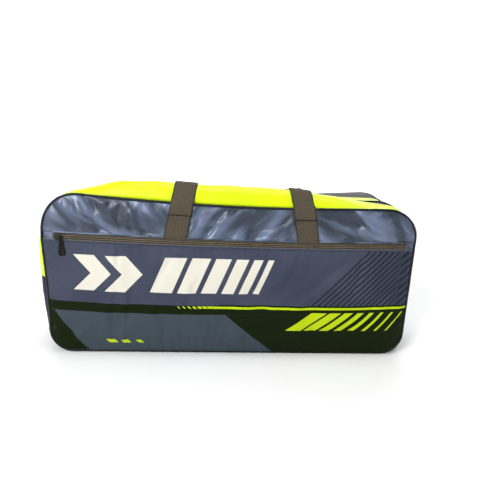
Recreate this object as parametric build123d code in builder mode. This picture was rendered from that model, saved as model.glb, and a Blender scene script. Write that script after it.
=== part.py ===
"""Racket tournament bag: two clamshell compartments side by side on a flat base.

Millimetres.  +X runs along the bag's length to the right, -Y is the front,
+Z is up, and the origin is the middle of the underside.
"""

import os
from math import atan, degrees, hypot

from build123d import *

os.makedirs("parts", exist_ok=True)

# overall body
PANEL_HALF = 372.0          # panel outline, middle to seam line
PANEL_LOW = 3.3             # height of the bottom seam line
PANEL_TOP = 327.0           # height of the top seam line
TOP_CORNER = 64.0           # outline corner radius at the top
LOW_CORNER = 45.0           # outline corner radius at the bottom
PANEL_FACE = 100.0          # front and rear panels, distance from the middle
PIPE = 3.0                  # radius of the piping cord with its cover

# sheets
CLOTH = 2.0                 # gusset cloth with its lining
TAPE = 1.5                  # zip tape
FLOOR = 4.0                 # padded underside
SKIN = 1.4                  # outer cloth of the big panels
FOAM = 2.6                  # panel foam
LINING = 1.0                # inner lining
GAP = 0.3                   # between two pieces that move apart

# depth stations of the gusset, front to rear
SEAM = 95.0                 # rear face of the front piping
LIME_END = -44.0            # front zip band starts
FRONT_SLIT = -32.0          # middle of the front zip
DIVIDER = -17.0             # middle of the divider
PIPE_FRONT = -20.0
PIPE_REAR = -14.0
REAR_BAND = 50.0            # rear zip band starts
REAR_SLIT = 62.0            # middle of the rear zip
STRIP = 74.0                # rear strip starts

# gusset levels
BAND_HALF = 378.5           # zip bands, middle to outer face
BAND_TOP = 337.0            # zip bands, height of the outer face
CREST_TOP = 362.0           # puffed front gusset
REAR_CREST = 345.0          # puffed rear gusset
BAND_DROP = 24.0            # the top behind the front seam is this much lower at the left end
REAR_DROP_LEFT = 20.0       # the same for the rear panel
LIME_LOW = 160.0            # lime cloth stops here on the sides
GUSSET_LOW = 45.0           # zips and gussets stop here on the sides

# zips
SLIT = 1.2                  # open line between the two rows of teeth
ROW = 2.4                   # width of one row of teeth
TOOTH = 1.8                 # height of the teeth above the tape
POCKET_ZIP = 247.0          # height of the pocket zip's middle
POCKET_BAND = 15.0          # width of the pocket zip
POCKET_ZIP_HALF = 352.0     # half length of the pocket zip

# front pocket
POCKET_PUFF = 14.0          # how far the pocket panel stands out
POCKET_SIDE_SLOPE = 60.0
POCKET_LOW_SLOPE = 54.0
POCKET_TOP_SLOPE = 80.0

# handles
WEBBING = 42.0              # strap width
STRAP = 2.2                 # strap thickness
ANCHOR = 1.8                # sewn end of the strap
ANCHOR_LOW = 258.0
ANCHOR_TOP = 305.0
LEG_LEFT = -119.5           # strap middle at the anchor's lower edge
LEG_RIGHT = 145.9
LEAN = 0.165                # sideways step per unit of height, towards the middle
STANDOFF = 102.8            # strap middle from the bag's middle plane
REAR_DROP = 112.0           # how far the rear handle hangs below its hinge
ROLL = 9.0                  # thickness of the rolled middle of a handle


def section(y, half, low, top, low_corner, top_corner, drop=0.0):
    """Upright outline standing at depth y; its top left corner is lower by the drop."""
    with BuildSketch(Plane.XZ.offset(-y), mode=Mode.PRIVATE) as sketch:
        Polygon((-half, low), (half, low), (half, top), (-half, top - drop), align=None)
        fillet(sketch.vertices().group_by(Axis.Y)[0], low_corner)
        if top_corner:
            upper = sketch.vertices().filter_by(lambda corner: corner.Y > (low + top) / 2)
            fillet(upper, top_corner)
    return sketch.sketch


def panel_section(y, grow):
    """The panel outline at depth y, grown outwards."""
    drop = REAR_DROP_LEFT if y > 0 else 0.0
    return section(y, PANEL_HALF + grow, PANEL_LOW - grow, PANEL_TOP + grow,
                   LOW_CORNER + grow, TOP_CORNER + grow, drop)


def drop_at(y):
    """How much lower the top is at the left end, for a depth."""
    if y < LIME_END:
        return BAND_DROP * (y + SEAM) / (LIME_END + SEAM)
    if y > STRIP:
        return BAND_DROP + (REAR_DROP_LEFT - BAND_DROP) * (y - STRIP) / (SEAM - STRIP)
    return BAND_DROP


def gusset_section(y, half, top, wall):
    """The gusset outline at depth y, taken in by the wall."""
    low = FLOOR if wall else 0.0
    return section(y, half - wall, low, top - wall, LOW_CORNER - wall, TOP_CORNER - wall,
                   drop_at(y))


def gusset_band(stations, wall):
    """Hollow band through a list of (depth, half width, top) stations."""
    loft(sections=[gusset_section(y, half, top, 0.0) for y, half, top in stations], ruled=True)
    loft(sections=[gusset_section(y, half, top, wall) for y, half, top in stations],
         ruled=True, mode=Mode.SUBTRACT)


def keep_between(low, high):
    """Keep only what lies between two heights."""
    with Locations((0, 0, (low + high) / 2)):
        Box(1000, 400, high - low, mode=Mode.INTERSECT)


def keep_side(sign):
    """Keep only the left (-1) or the right (+1) half."""
    with Locations((sign * 250, 0, 200)):
        Box(500, 400, 600, mode=Mode.INTERSECT)


def panel_sheet(y_start, y_end):
    """Flat sheet with the panel outline, inside the piping."""
    loft(sections=[panel_section(y_start, -PIPE), panel_section(y_end, -PIPE)], ruled=True)


def piping(y_middle):
    """Round-backed cord around a panel, flat where the panel and gusset are sewn to it."""
    crown = [(-PIPE, 0.5), (-2.2, 2.2), (-0.5, PIPE), (0.5, PIPE), (2.2, 2.2), (PIPE, 0.5)]
    loft(sections=[panel_section(y_middle + dy, grow) for dy, grow in crown], ruled=True)
    loft(sections=[panel_section(y_middle - PIPE, -PIPE), panel_section(y_middle + PIPE, -PIPE)],
         ruled=True, mode=Mode.SUBTRACT)


def finish(part, label):
    """Name the piece and write it out."""
    part.label = label
    export_step(part, f"parts/{label}.step")


FRONT_GUSSET = [(-SEAM, 372.5, 327.5), (-86.0, 380.0, 348.0), (-74.0, 386.0, 360.0),
                (-64.0, 388.0, CREST_TOP), (-54.0, 386.0, 354.0), (LIME_END, BAND_HALF, BAND_TOP)]
REAR_GUSSET = [(PIPE_REAR, BAND_HALF, BAND_TOP), (2.0, 381.0, 343.0), (18.0, 382.0, REAR_CREST),
               (34.0, 381.0, 343.0), (REAR_BAND, BAND_HALF, BAND_TOP)]
REAR_STRIP = [(STRIP, BAND_HALF, BAND_TOP), (86.0, 376.5, 334.0), (SEAM, 372.5, 327.5)]
BOTTOM_SIDE = [(-94.5, 372.9), (-86.0, 380.0), (-74.0, 386.0), (-64.0, 388.0), (-54.0, 386.0),
               (LIME_END, BAND_HALF), (PIPE_REAR, BAND_HALF), (2.0, 381.0), (18.0, 382.0),
               (34.0, 381.0), (REAR_BAND, BAND_HALF), (STRIP, BAND_HALF), (86.0, 376.5),
               (94.5, 372.7)]

# ---------------------------------------------------------------- main body
with BuildPart() as bottom_panel:
    gusset_band([(y, half, BAND_TOP) for y, half in BOTTOM_SIDE], CLOTH)
    keep_between(0, GUSSET_LOW)
finish(bottom_panel.part, "bottom_panel")

BOARDS = {"base_board_front": (-92.0, DIVIDER - 1.0), "base_board_rear": (DIVIDER + 1.0, 92.0)}
for label, (start, end) in BOARDS.items():
    with BuildPart() as board:
        with Locations((0, (start + end) / 2, FLOOR)):
            Box(650, end - start, 3, align=(Align.CENTER, Align.CENTER, Align.MIN))
    finish(board.part, label)

with BuildPart() as divider_panel:
    loft(sections=[gusset_section(DIVIDER - 1.0, BAND_HALF, BAND_TOP, CLOTH),
                   gusset_section(DIVIDER + 1.0, BAND_HALF, BAND_TOP, CLOTH)], ruled=True)
finish(divider_panel.part, "divider_panel")

with BuildPart() as divider_piping:
    loft(sections=[gusset_section(PIPE_FRONT, BAND_HALF + 0.5, BAND_TOP + 0.5, 0.0),
                   gusset_section(-18.5, BAND_HALF + 3, BAND_TOP + 3, 0.0),
                   gusset_section(-15.5, BAND_HALF + 3, BAND_TOP + 3, 0.0),
                   gusset_section(PIPE_REAR, BAND_HALF + 0.5, BAND_TOP + 0.5, 0.0)], ruled=True)
    loft(sections=[gusset_section(PIPE_FRONT, BAND_HALF, BAND_TOP, CLOTH),
                   gusset_section(PIPE_REAR, BAND_HALF, BAND_TOP, CLOTH)],
         ruled=True, mode=Mode.SUBTRACT)
    keep_between(GUSSET_LOW, 400)
finish(divider_piping.part, "divider_piping")

with BuildPart() as rear_gusset_lime:
    gusset_band(REAR_GUSSET, CLOTH)
    keep_between(LIME_LOW, 400)
finish(rear_gusset_lime.part, "rear_gusset_lime")

for label, sign in {"rear_gusset_side_left": -1, "rear_gusset_side_right": 1}.items():
    with BuildPart() as gusset_side:
        gusset_band(REAR_GUSSET, CLOTH)
        keep_between(GUSSET_LOW, LIME_LOW)
        keep_side(sign)
    finish(gusset_side.part, label)

# ---------------------------------------------------------------- zip bands
# each entry: tape start, tape end, teeth start, teeth end, lower end
HALF_SLIT = SLIT / 2
ZIP_BANDS = {
    "front_zip_lid": (LIME_END, FRONT_SLIT - HALF_SLIT,
                      FRONT_SLIT - HALF_SLIT - ROW, FRONT_SLIT - HALF_SLIT, GUSSET_LOW + GAP),
    "front_zip_body": (FRONT_SLIT + HALF_SLIT, PIPE_FRONT,
                       FRONT_SLIT + HALF_SLIT, FRONT_SLIT + HALF_SLIT + ROW, GUSSET_LOW),
    "rear_zip_body": (REAR_BAND, REAR_SLIT - HALF_SLIT,
                      REAR_SLIT - HALF_SLIT - ROW, REAR_SLIT - HALF_SLIT, GUSSET_LOW),
    "rear_zip_lid": (REAR_SLIT + HALF_SLIT, STRIP,
                     REAR_SLIT + HALF_SLIT, REAR_SLIT + HALF_SLIT + ROW, GUSSET_LOW + GAP),
}
for label, (tape_start, tape_end, row_start, row_end, low_end) in ZIP_BANDS.items():
    zip_name, side_name = label.rsplit("_", 1)
    with BuildPart() as tape:
        gusset_band([(tape_start, BAND_HALF, BAND_TOP), (tape_end, BAND_HALF, BAND_TOP)], TAPE)
        keep_between(low_end, 400)
    finish(tape.part, f"{zip_name}_tape_{side_name}")
    with BuildPart() as teeth:
        loft(sections=[gusset_section(y, BAND_HALF + TOOTH, BAND_TOP + TOOTH, 0.0)
                       for y in (row_start, row_end)], ruled=True)
        loft(sections=[gusset_section(y, BAND_HALF, BAND_TOP, 0.0)
                       for y in (row_start, row_end)], ruled=True, mode=Mode.SUBTRACT)
        keep_between(low_end, 400)
    finish(teeth.part, f"{zip_name}_teeth_{side_name}")

# ---------------------------------------------------------------- front lid
FACE = PANEL_FACE
with BuildPart() as front_panel_lining:
    panel_sheet(-SEAM - LINING, -SEAM)
finish(front_panel_lining.part, "front_panel_lining")

with BuildPart() as front_panel_foam:
    panel_sheet(-FACE + SKIN, -SEAM - LINING)
finish(front_panel_foam.part, "front_panel_foam")

ZIP_UPPER = POCKET_ZIP + POCKET_BAND / 2
ZIP_LOWER = POCKET_ZIP - POCKET_BAND / 2
with BuildPart() as front_yoke_panel:
    panel_sheet(-FACE, -FACE + SKIN)
    keep_between(ZIP_UPPER, 400)
finish(front_yoke_panel.part, "front_yoke_panel")

with BuildPart() as front_piping:
    piping(-SEAM - PIPE)
finish(front_piping.part, "front_piping")

POCKET_HALF = PANEL_HALF - PIPE
POCKET_LOW = PANEL_LOW + PIPE
POCKET_CORNER = LOW_CORNER - PIPE


def pocket_outline(y, inset):
    """Lower panel edge, sewn to the piping and to the zip."""
    return section(y, POCKET_HALF - inset, POCKET_LOW + inset, ZIP_LOWER - inset,
                   POCKET_CORNER - inset, 0)


def pocket_crown(y, inset):
    """Flat middle of the puffed pocket panel."""
    return section(y, POCKET_HALF - POCKET_SIDE_SLOPE - inset, POCKET_LOW + POCKET_LOW_SLOPE + inset,
                   ZIP_LOWER - POCKET_TOP_SLOPE - inset, 20, 0)


with BuildPart() as front_pocket_panel:
    loft(sections=[pocket_outline(-FACE + SKIN, 0), pocket_outline(-FACE, 0)], ruled=True)
    loft(sections=[pocket_outline(-FACE, 0), pocket_crown(-FACE - POCKET_PUFF, 0)], ruled=True)
    loft(sections=[pocket_outline(-FACE + SKIN, 6), pocket_crown(-FACE - POCKET_PUFF + CLOTH, 4)],
         ruled=True, mode=Mode.SUBTRACT)
finish(front_pocket_panel.part, "front_pocket_panel")

with BuildPart() as front_gusset_lime:
    gusset_band(FRONT_GUSSET, CLOTH)
    keep_between(LIME_LOW, 400)
finish(front_gusset_lime.part, "front_gusset_lime")

for label, sign in {"front_gusset_side_left": -1, "front_gusset_side_right": 1}.items():
    with BuildPart() as gusset_side:
        gusset_band(FRONT_GUSSET, CLOTH)
        keep_between(GUSSET_LOW + GAP, LIME_LOW)
        keep_side(sign)
    finish(gusset_side.part, label)

# pocket zip: tape halves, rows of teeth and the sewn ends
POCKET_HALVES = {"upper": 1, "lower": -1}
for label, sign in POCKET_HALVES.items():
    tape_width = POCKET_BAND / 2 - HALF_SLIT
    with BuildPart() as tape:
        with Locations((0, -FACE + SKIN / 2, POCKET_ZIP + sign * (HALF_SLIT + tape_width / 2))):
            Box(2 * POCKET_ZIP_HALF, SKIN, tape_width)
    finish(tape.part, f"pocket_zip_tape_{label}")
    with BuildPart() as teeth:
        with Locations((0, -FACE - TOOTH / 2, POCKET_ZIP + sign * (HALF_SLIT + ROW / 2))):
            Box(2 * POCKET_ZIP_HALF, TOOTH, ROW)
    finish(teeth.part, f"pocket_zip_teeth_{label}")

for label, sign in {"left": -1, "right": 1}.items():
    with BuildPart() as end_tab:
        with Locations((sign * (POCKET_ZIP_HALF + POCKET_HALF) / 2, -FACE + SKIN / 2, POCKET_ZIP)):
            Box(POCKET_HALF - POCKET_ZIP_HALF, SKIN, POCKET_BAND)
    finish(end_tab.part, f"pocket_zip_end_tab_{label}")

# ---------------------------------------------------------------- rear lid
REAR_SHEETS = {
    "rear_panel_lining": (SEAM, SEAM + LINING),
    "rear_panel_foam": (SEAM + LINING, FACE - SKIN),
    "rear_panel": (FACE - SKIN, FACE),
}
for label, (start, end) in REAR_SHEETS.items():
    with BuildPart() as sheet:
        panel_sheet(start, end)
    finish(sheet.part, label)

with BuildPart() as rear_piping:
    piping(SEAM + PIPE)
finish(rear_piping.part, "rear_piping")

with BuildPart() as rear_gusset_strip:
    gusset_band(REAR_STRIP, CLOTH)
    keep_between(GUSSET_LOW + GAP, 400)
finish(rear_gusset_strip.part, "rear_gusset_strip")


# ---------------------------------------------------------------- handles
def strap_path(points, thickness):
    """Closed polygon of even thickness along a (depth, height) path."""
    near = []
    far = []
    for index, (y, z) in enumerate(points):
        before = points[max(index - 1, 0)]
        after = points[min(index + 1, len(points) - 1)]
        run = hypot(after[0] - before[0], after[1] - before[1])
        across = (-(after[1] - before[1]) / run, (after[0] - before[0]) / run)
        near.append((y + across[0] * thickness / 2, z + across[1] * thickness / 2))
        far.append((y - across[0] * thickness / 2, z - across[1] * thickness / 2))
    return near + far[::-1]


def lean_middle(foot, z):
    """Middle of a strap leg at a height; the legs lean towards each other."""
    inward = -1 if foot > 0 else 1
    return foot + inward * LEAN * (z - ANCHOR_LOW)


def keep_leaning(foot, low, high):
    """Cut to a leaning strap of webbing width."""
    with BuildSketch(Plane.XZ, mode=Mode.PRIVATE) as outline:
        Polygon((lean_middle(foot, low) - WEBBING / 2, low),
                (lean_middle(foot, low) + WEBBING / 2, low),
                (lean_middle(foot, high) + WEBBING / 2, high),
                (lean_middle(foot, high) - WEBBING / 2, high), align=None)
    extrude(outline.sketch, amount=300, both=True, mode=Mode.INTERSECT)


FEET = {"left": LEG_LEFT, "right": LEG_RIGHT}
for wall_name, facing in {"front": -1, "rear": 1}.items():
    for label, foot in FEET.items():
        with BuildPart() as anchor:
            with Locations((foot, facing * (FACE + ANCHOR / 2), (ANCHOR_LOW + ANCHOR_TOP) / 2)):
                Box(2 * WEBBING, ANCHOR, ANCHOR_TOP - ANCHOR_LOW)
            keep_leaning(foot, ANCHOR_LOW, ANCHOR_TOP)
        finish(anchor.part, f"{wall_name}_handle_anchor_{label}")

LEG_START = ANCHOR_TOP + 1.3
FRONT_LEG = [(-STANDOFF, LEG_START), (-STANDOFF, 330.0), (-98.5, 338.0), (-89.5, 351.0),
             (-77.0, 362.8), (-66.0, 366.0), (-56.0, 361.0), (-48.0, 351.0), (-42.0, 342.5)]
BAR_MIDDLE = 342.5          # height of the rolled middle of the front handle


def strap_leg(foot, path, low, high):
    """One leg of a handle as its own solid."""
    with BuildPart(mode=Mode.PRIVATE) as leg:
        with BuildSketch(Plane.YZ.offset(foot)):
            Polygon(*strap_path(path, STRAP), align=None)
        extrude(amount=60, both=True)
        keep_leaning(foot, low, high)
    return leg.part


with BuildPart() as front_handle_strap:
    for foot in FEET.values():
        add(strap_leg(foot, FRONT_LEG, ANCHOR_TOP, 375))
    bar_left = lean_middle(LEG_LEFT, BAR_MIDDLE) - WEBBING / 2
    bar_right = lean_middle(LEG_RIGHT, BAR_MIDDLE) + WEBBING / 2
    with Locations(((bar_left + bar_right) / 2, -31, BAR_MIDDLE)):
        Box(bar_right - bar_left, 26, ROLL)
    fillet(front_handle_strap.edges().filter_by(Axis.X).group_by(Axis.Y)[-1], 3)
finish(front_handle_strap.part, "front_handle_strap")

HANG_LOW = ANCHOR_TOP - REAR_DROP
REAR_LEG = [(STANDOFF + 0.3, ANCHOR_TOP + 1.0), (STANDOFF + 0.3, HANG_LOW + 12)]


def hanging_leg(foot):
    """One leg of the rear handle, hanging straight down and leaning inwards."""
    inward = -1 if foot > 0 else 1
    top_middle = lean_middle(foot, ANCHOR_TOP)
    low_middle = top_middle + inward * LEAN * REAR_DROP
    with BuildPart(mode=Mode.PRIVATE) as leg:
        with BuildSketch(Plane.YZ.offset(foot)):
            Polygon(*strap_path(REAR_LEG, STRAP), align=None)
        extrude(amount=90, both=True)
        with BuildSketch(Plane.XZ, mode=Mode.PRIVATE) as outline:
            Polygon((low_middle - WEBBING / 2, HANG_LOW), (low_middle + WEBBING / 2, HANG_LOW),
                    (top_middle + WEBBING / 2, ANCHOR_TOP + 1),
                    (top_middle - WEBBING / 2, ANCHOR_TOP + 1), align=None)
        extrude(outline.sketch, amount=300, both=True, mode=Mode.INTERSECT)
    return leg.part


with BuildPart() as rear_handle_strap:
    for foot in FEET.values():
        add(hanging_leg(foot))
    reach = LEAN * (REAR_DROP + ANCHOR_TOP - ANCHOR_LOW)
    bar_left = LEG_LEFT + reach - WEBBING / 2
    bar_right = LEG_RIGHT - reach + WEBBING / 2
    with Locations(((bar_left + bar_right) / 2, STANDOFF - 0.8 + ROLL / 2, HANG_LOW + 13)):
        Box(bar_right - bar_left, ROLL, 26)
    fillet(rear_handle_strap.edges().filter_by(Axis.X).group_by(Axis.Y)[-1], 3)
finish(rear_handle_strap.part, "rear_handle_strap")

# ---------------------------------------------------------------- zip sliders
PLATE_LENGTH = 24.0
PLATE_WIDTH = 13.0
PLATE_RISE = 2.8            # underside of the plate above the tape
PLATE = 1.4
NECK = 0.8
PIN_RISE = 5.8
PIN = 0.7                   # pin radius
PIN_HOLE = 0.76
BARREL = 1.4
BARREL_LENGTH = 6.4
TAG_WIDTH = 14.0
TAG_LENGTH = 25.0
TAG = 1.6


def slider_solid(turn):
    """Slider on a zip lying flat: travel along X, outwards along Z, pin turned about Z."""
    with BuildPart(mode=Mode.PRIVATE) as slider:
        with Locations((0, 0, PLATE_RISE)):
            Box(PLATE_LENGTH, PLATE_WIDTH, PLATE, align=(Align.CENTER, Align.CENTER, Align.MIN))
        fillet(slider.edges().filter_by(Axis.Z), 4)
        with Locations((0, 0, -0.5)):
            Box(PLATE_LENGTH - 8, NECK, PLATE_RISE + 0.5,
                align=(Align.CENTER, Align.CENTER, Align.MIN))
        with Locations(Location((0, 0, PLATE_RISE + PLATE), (0, 0, turn))):
            with Locations((-4.3, 0, 0), (4.3, 0, 0)):
                Box(1.4, 3, PIN_RISE + 1.2 - PLATE_RISE - PLATE,
                    align=(Align.CENTER, Align.CENTER, Align.MIN))
            with Locations((0, 0, PIN_RISE - PLATE_RISE - PLATE)):
                Cylinder(PIN, 8.6, rotation=(0, 90, 0))
    return slider.part


def puller_solid(turn):
    """Puller lying flat along -Y from its pin, turned about Z with the pin."""
    with BuildPart(mode=Mode.PRIVATE) as puller:
        with Locations(Location((0, 0, 0), (0, 0, turn))):
            with Locations((0, 0, PIN_RISE)):
                Cylinder(BARREL, BARREL_LENGTH, rotation=(0, 90, 0))
            with Locations((0, -4.5, PIN_RISE)):
                Box(BARREL_LENGTH, 9, TAG)
            with Locations((0, -8 - TAG_LENGTH / 2, PIN_RISE)):
                Box(TAG_WIDTH, TAG_LENGTH, TAG)
            with Locations((0, 0, PIN_RISE)):
                Cylinder(PIN_HOLE, BARREL_LENGTH + 2, rotation=(0, 90, 0), mode=Mode.SUBTRACT)
        tag_edges = puller.edges().filter_by(Axis.Z).filter_by(
            lambda edge: hypot(edge.center().X, edge.center().Y) > 20)
        fillet(tag_edges, 4)
    return puller.part


TOP_SLOPE = BAND_DROP / (2 * BAND_HALF)
SLIDER_X = -300.0           # both long zips close towards the left end
SLIDER_Z = BAND_TOP - TOP_SLOPE * (BAND_HALF - SLIDER_X)
TOP_TILT = -degrees(atan(TOP_SLOPE))
POCKET_SLIDER = Location((-340, -FACE, POCKET_ZIP), (90, 0, 0))
FRONT_SLIDER = Location((SLIDER_X, FRONT_SLIT, SLIDER_Z), (0, TOP_TILT, 0))
REAR_SLIDER = Location((SLIDER_X, REAR_SLIT, SLIDER_Z), (0, TOP_TILT, 0))
SLIDERS = {"pocket_zip": (POCKET_SLIDER, 0), "front_zip": (FRONT_SLIDER, 90),
           "rear_zip": (REAR_SLIDER, 90)}
for label, (place, turn) in SLIDERS.items():
    finish(slider_solid(turn).moved(place), f"{label}_slider")
    finish(puller_solid(turn).moved(place), f"{label}_puller")
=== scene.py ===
"""Racket tournament bag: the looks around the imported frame.

Metres, in the frame's own axes: +X to the bag's right, -Y the front, +Z up.
"""

import math

import bpy
import mathutils
import numpy as np
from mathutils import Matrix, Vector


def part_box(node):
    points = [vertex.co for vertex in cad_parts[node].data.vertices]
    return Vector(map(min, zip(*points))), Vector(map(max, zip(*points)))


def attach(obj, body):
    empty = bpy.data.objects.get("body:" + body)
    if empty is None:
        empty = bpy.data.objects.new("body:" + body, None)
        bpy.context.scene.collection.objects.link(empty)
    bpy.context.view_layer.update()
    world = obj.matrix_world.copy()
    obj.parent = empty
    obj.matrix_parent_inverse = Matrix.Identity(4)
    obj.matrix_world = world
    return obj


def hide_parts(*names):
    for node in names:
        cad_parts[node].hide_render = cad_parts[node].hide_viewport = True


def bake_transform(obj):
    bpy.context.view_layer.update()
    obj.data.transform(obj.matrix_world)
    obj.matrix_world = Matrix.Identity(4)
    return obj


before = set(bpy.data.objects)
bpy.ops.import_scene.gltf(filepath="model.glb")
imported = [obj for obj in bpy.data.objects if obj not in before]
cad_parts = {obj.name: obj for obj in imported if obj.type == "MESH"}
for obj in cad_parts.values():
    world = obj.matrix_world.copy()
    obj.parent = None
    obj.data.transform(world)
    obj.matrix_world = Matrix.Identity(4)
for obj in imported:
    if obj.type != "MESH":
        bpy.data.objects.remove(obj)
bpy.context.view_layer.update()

MM = 0.001

# ------------------------------------------------------------------ sizes read from the frame
pipe_low, pipe_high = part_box("front_piping")
PIPE = 3 * MM
HALF = pipe_high[0] - PIPE                  # seam line of the big panels
TOP = pipe_high[2] - PIPE
LOW = pipe_low[2] + PIPE
TOP_CORNER = 64 * MM
LOW_CORNER = 45 * MM
FACE = -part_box("front_yoke_panel")[0][1]    # front panel, distance from the middle plane
SEAM = -pipe_high[1]
LIME_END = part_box("front_zip_tape_lid")[0][1]
FRONT_SLIT = (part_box("front_zip_teeth_lid")[1][1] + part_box("front_zip_teeth_body")[0][1]) / 2
PIPE_FRONT, PIPE_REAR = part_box("divider_piping")[0][1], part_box("divider_piping")[1][1]
REAR_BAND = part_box("rear_zip_tape_body")[0][1]
REAR_SLIT = (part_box("rear_zip_teeth_body")[1][1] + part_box("rear_zip_teeth_lid")[0][1]) / 2
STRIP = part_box("rear_zip_tape_lid")[1][1]
BAND_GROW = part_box("front_zip_tape_lid")[1][2] - TOP
BAND_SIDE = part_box("front_zip_tape_lid")[1][0] - HALF
GUSSET_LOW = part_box("front_zip_tape_lid")[0][2]
LIME_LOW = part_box("front_gusset_lime")[0][2]
ZIP_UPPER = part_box("pocket_zip_tape_upper")[1][2]
ZIP_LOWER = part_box("pocket_zip_tape_lower")[0][2]
POCKET_ZIP = (ZIP_UPPER + ZIP_LOWER) / 2
ZIP_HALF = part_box("pocket_zip_tape_upper")[1][0]
EDGE = HALF - PIPE                          # cloth edge of the big panels
ANCHOR_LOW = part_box("front_handle_anchor_left")[0][2]
ANCHOR_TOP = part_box("front_handle_anchor_left")[1][2]

SAG = 9.5 * MM                              # how far the top hangs in the middle
BAND_DROP = 24 * MM                         # the top behind the front seam is lower at the left
REAR_DROP = 20 * MM                         # the same for the rear panel
BULGE = 19 * MM                             # how far the pocket panel stands out


# ------------------------------------------------------------------ small maths
def smooth(t):
    """Rises from 0 to 1 with level ends."""
    t = np.clip(t, 0.0, 1.0)
    return t * t * (3 - 2 * t)


def ripples(u, v, seed, count, shortest, longest, spread, lean=0.0, sharp=1.0):
    """Sum of wave trains, from about -1 to 1; sharp above 1 narrows their crests."""
    rng = np.random.default_rng(seed)
    total = np.zeros(np.broadcast(u, v).shape)
    for _ in range(count):
        length = shortest * (longest / shortest) ** rng.random()
        angle = lean + spread * (rng.random() - 0.5)
        phase = 2 * math.pi * rng.random()
        wave = np.sin(2 * math.pi * (u * math.cos(angle) + v * math.sin(angle)) / length + phase)
        total += np.sign(wave) * np.abs(wave) ** sharp
    return total / math.sqrt(count)


def patches(u, v, seed, size):
    """Slow blotches from 0 to 1 that switch a detail on here and off there."""
    return smooth(0.5 + 0.42 * ripples(u, v, seed, 7, size * 0.7, size * 1.8, 2 * math.pi))


def profile(stations, values, soft):
    """A rounded curve through a few stations, as a function."""
    table = np.linspace(stations[0], stations[-1], 400)
    raw = np.interp(table, stations, values)
    width = max(1, int(soft / (table[1] - table[0])))
    kernel = np.hanning(2 * width + 3)[1:-1]
    padded = np.pad(raw, len(kernel) // 2, mode="edge")
    curve = np.convolve(padded, kernel / kernel.sum(), mode="valid")
    return lambda at: np.interp(at, table, curve)


def run_along(points):
    """Distance from the first point of a line to each of its points."""
    steps = np.linalg.norm(np.diff(points, axis=0), axis=1)
    return np.concatenate([[0], np.cumsum(steps)])


def unit(vectors):
    return vectors / np.linalg.norm(vectors, axis=-1, keepdims=True)


def flat_pair(u, v, shape):
    """Flat coordinates of a grid from a run along it and a run across it."""
    return np.stack([np.broadcast_to(u, shape), np.broadcast_to(v, shape)], -1)


FRONTWARD = np.array([0.0, -1.0, 0.0])
BACKWARD = np.array([0.0, 1.0, 0.0])


def top_drop(y):
    """How much lower the top is at the left end, for a depth."""
    front = BAND_DROP * np.clip((y + SEAM) / (LIME_END + SEAM), 0, 1)
    return front + (REAR_DROP - BAND_DROP) * np.clip((y - STRIP) / (SEAM - STRIP), 0, 1)


# the front seam is high at the left and low at the right
seam_tilt = profile([-0.372, -0.31, -0.26, -0.13, 0.15, 0.372], [5.5, 5, 2.4, 0.6, -3.2, -6], 0.04)
# how far the top dips towards the right end, at four depths: front zip edge, middle seam,
# rear lime edge and rear zip edge
DIP_DEPTHS = (LIME_END, PIPE_REAR, REAR_BAND, STRIP)
DIPS = (profile([-0.372, 0.15, 0.22, 0.33, 0.372], [0, 0, -3, -14, -13], 0.03),
        profile([-0.372, 0.15, 0.27, 0.372], [0, 0, -7, -10], 0.03),
        profile([-0.372, 0.15, 0.31, 0.372], [0, 0, -11, -11], 0.03),
        profile([-0.372, 0.15, 0.28, 0.34, 0.372], [0, 0, -2.5, -8, -8], 0.02))


def right_dip(x, y):
    """How far the top dips at a place, in metres, blended between the four depths."""
    layers = [dip(x) for dip in DIPS]
    amount = layers[0]
    for k in range(3):
        share = np.clip((y - DIP_DEPTHS[k]) / (DIP_DEPTHS[k + 1] - DIP_DEPTHS[k]), 0, 1)
        amount = amount + (layers[k + 1] - layers[k]) * share
    return MM * amount * smooth((y - LIME_END) / 0.02 + 1) * smooth((SEAM - y) / 0.01)


# how far the upper left corner of the front leans outwards, by height
corner_lean = profile([0, 0.08, 0.14, 0.20, 0.24, 0.30, 0.34],
                      [1, 1.4, 0, -3.2, -5.8, -1.8, 0], 0.02)


def settle(points):
    """The slack of a filled bag: the top hangs in the middle and slopes to the left."""
    p = np.array(points, float)
    x, y, z = p[..., 0], p[..., 1], p[..., 2]
    height = smooth((z - 0.19) / 0.14)
    middle = np.clip(1 - (x / HALF) ** 2, 0, 1) ** 2
    front = smooth((-y + LIME_END) / (SEAM + LIME_END))
    tilt = MM * seam_tilt(x) * front * smooth((z - 0.255) / 0.07)
    zip_tilt = -1.2 * MM * x / HALF * front * smooth((z - 0.20) / 0.04) * smooth((0.30 - z) / 0.04)
    slope = top_drop(y) * (HALF - x) / (2 * HALF) * smooth((z - 0.15) / 0.11)
    dip = right_dip(x, y) * smooth((z - 0.25) / 0.06)
    p[..., 0] = x + MM * corner_lean(z) * smooth((-x - 0.315) / 0.055) * front
    p[..., 2] = z - SAG * height * middle + tilt + zip_tilt - slope + dip
    return p


# ------------------------------------------------------------------ mesh makers
def add_object(name, verts, faces, uv=None, body=None, material=None):
    """A smooth-shaded mesh object, which rides on a body when one is given."""
    mesh = bpy.data.meshes.new(name)
    mesh.from_pydata(np.asarray(verts, float).tolist(), [], [list(map(int, f)) for f in faces])
    mesh.validate()
    if uv is not None:
        layer = mesh.uv_layers.new(name="flat")
        index = np.empty(len(mesh.loops), int)
        mesh.loops.foreach_get("vertex_index", index)
        layer.data.foreach_set("uv", np.asarray(uv, float)[index].ravel())
    mesh.shade_smooth()
    obj = bpy.data.objects.new(name, mesh)
    bpy.context.scene.collection.objects.link(obj)
    if material is not None:
        for each in material if isinstance(material, (list, tuple)) else [material]:
            mesh.materials.append(each)
    if body is not None:
        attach(obj, body)
    return obj


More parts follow.
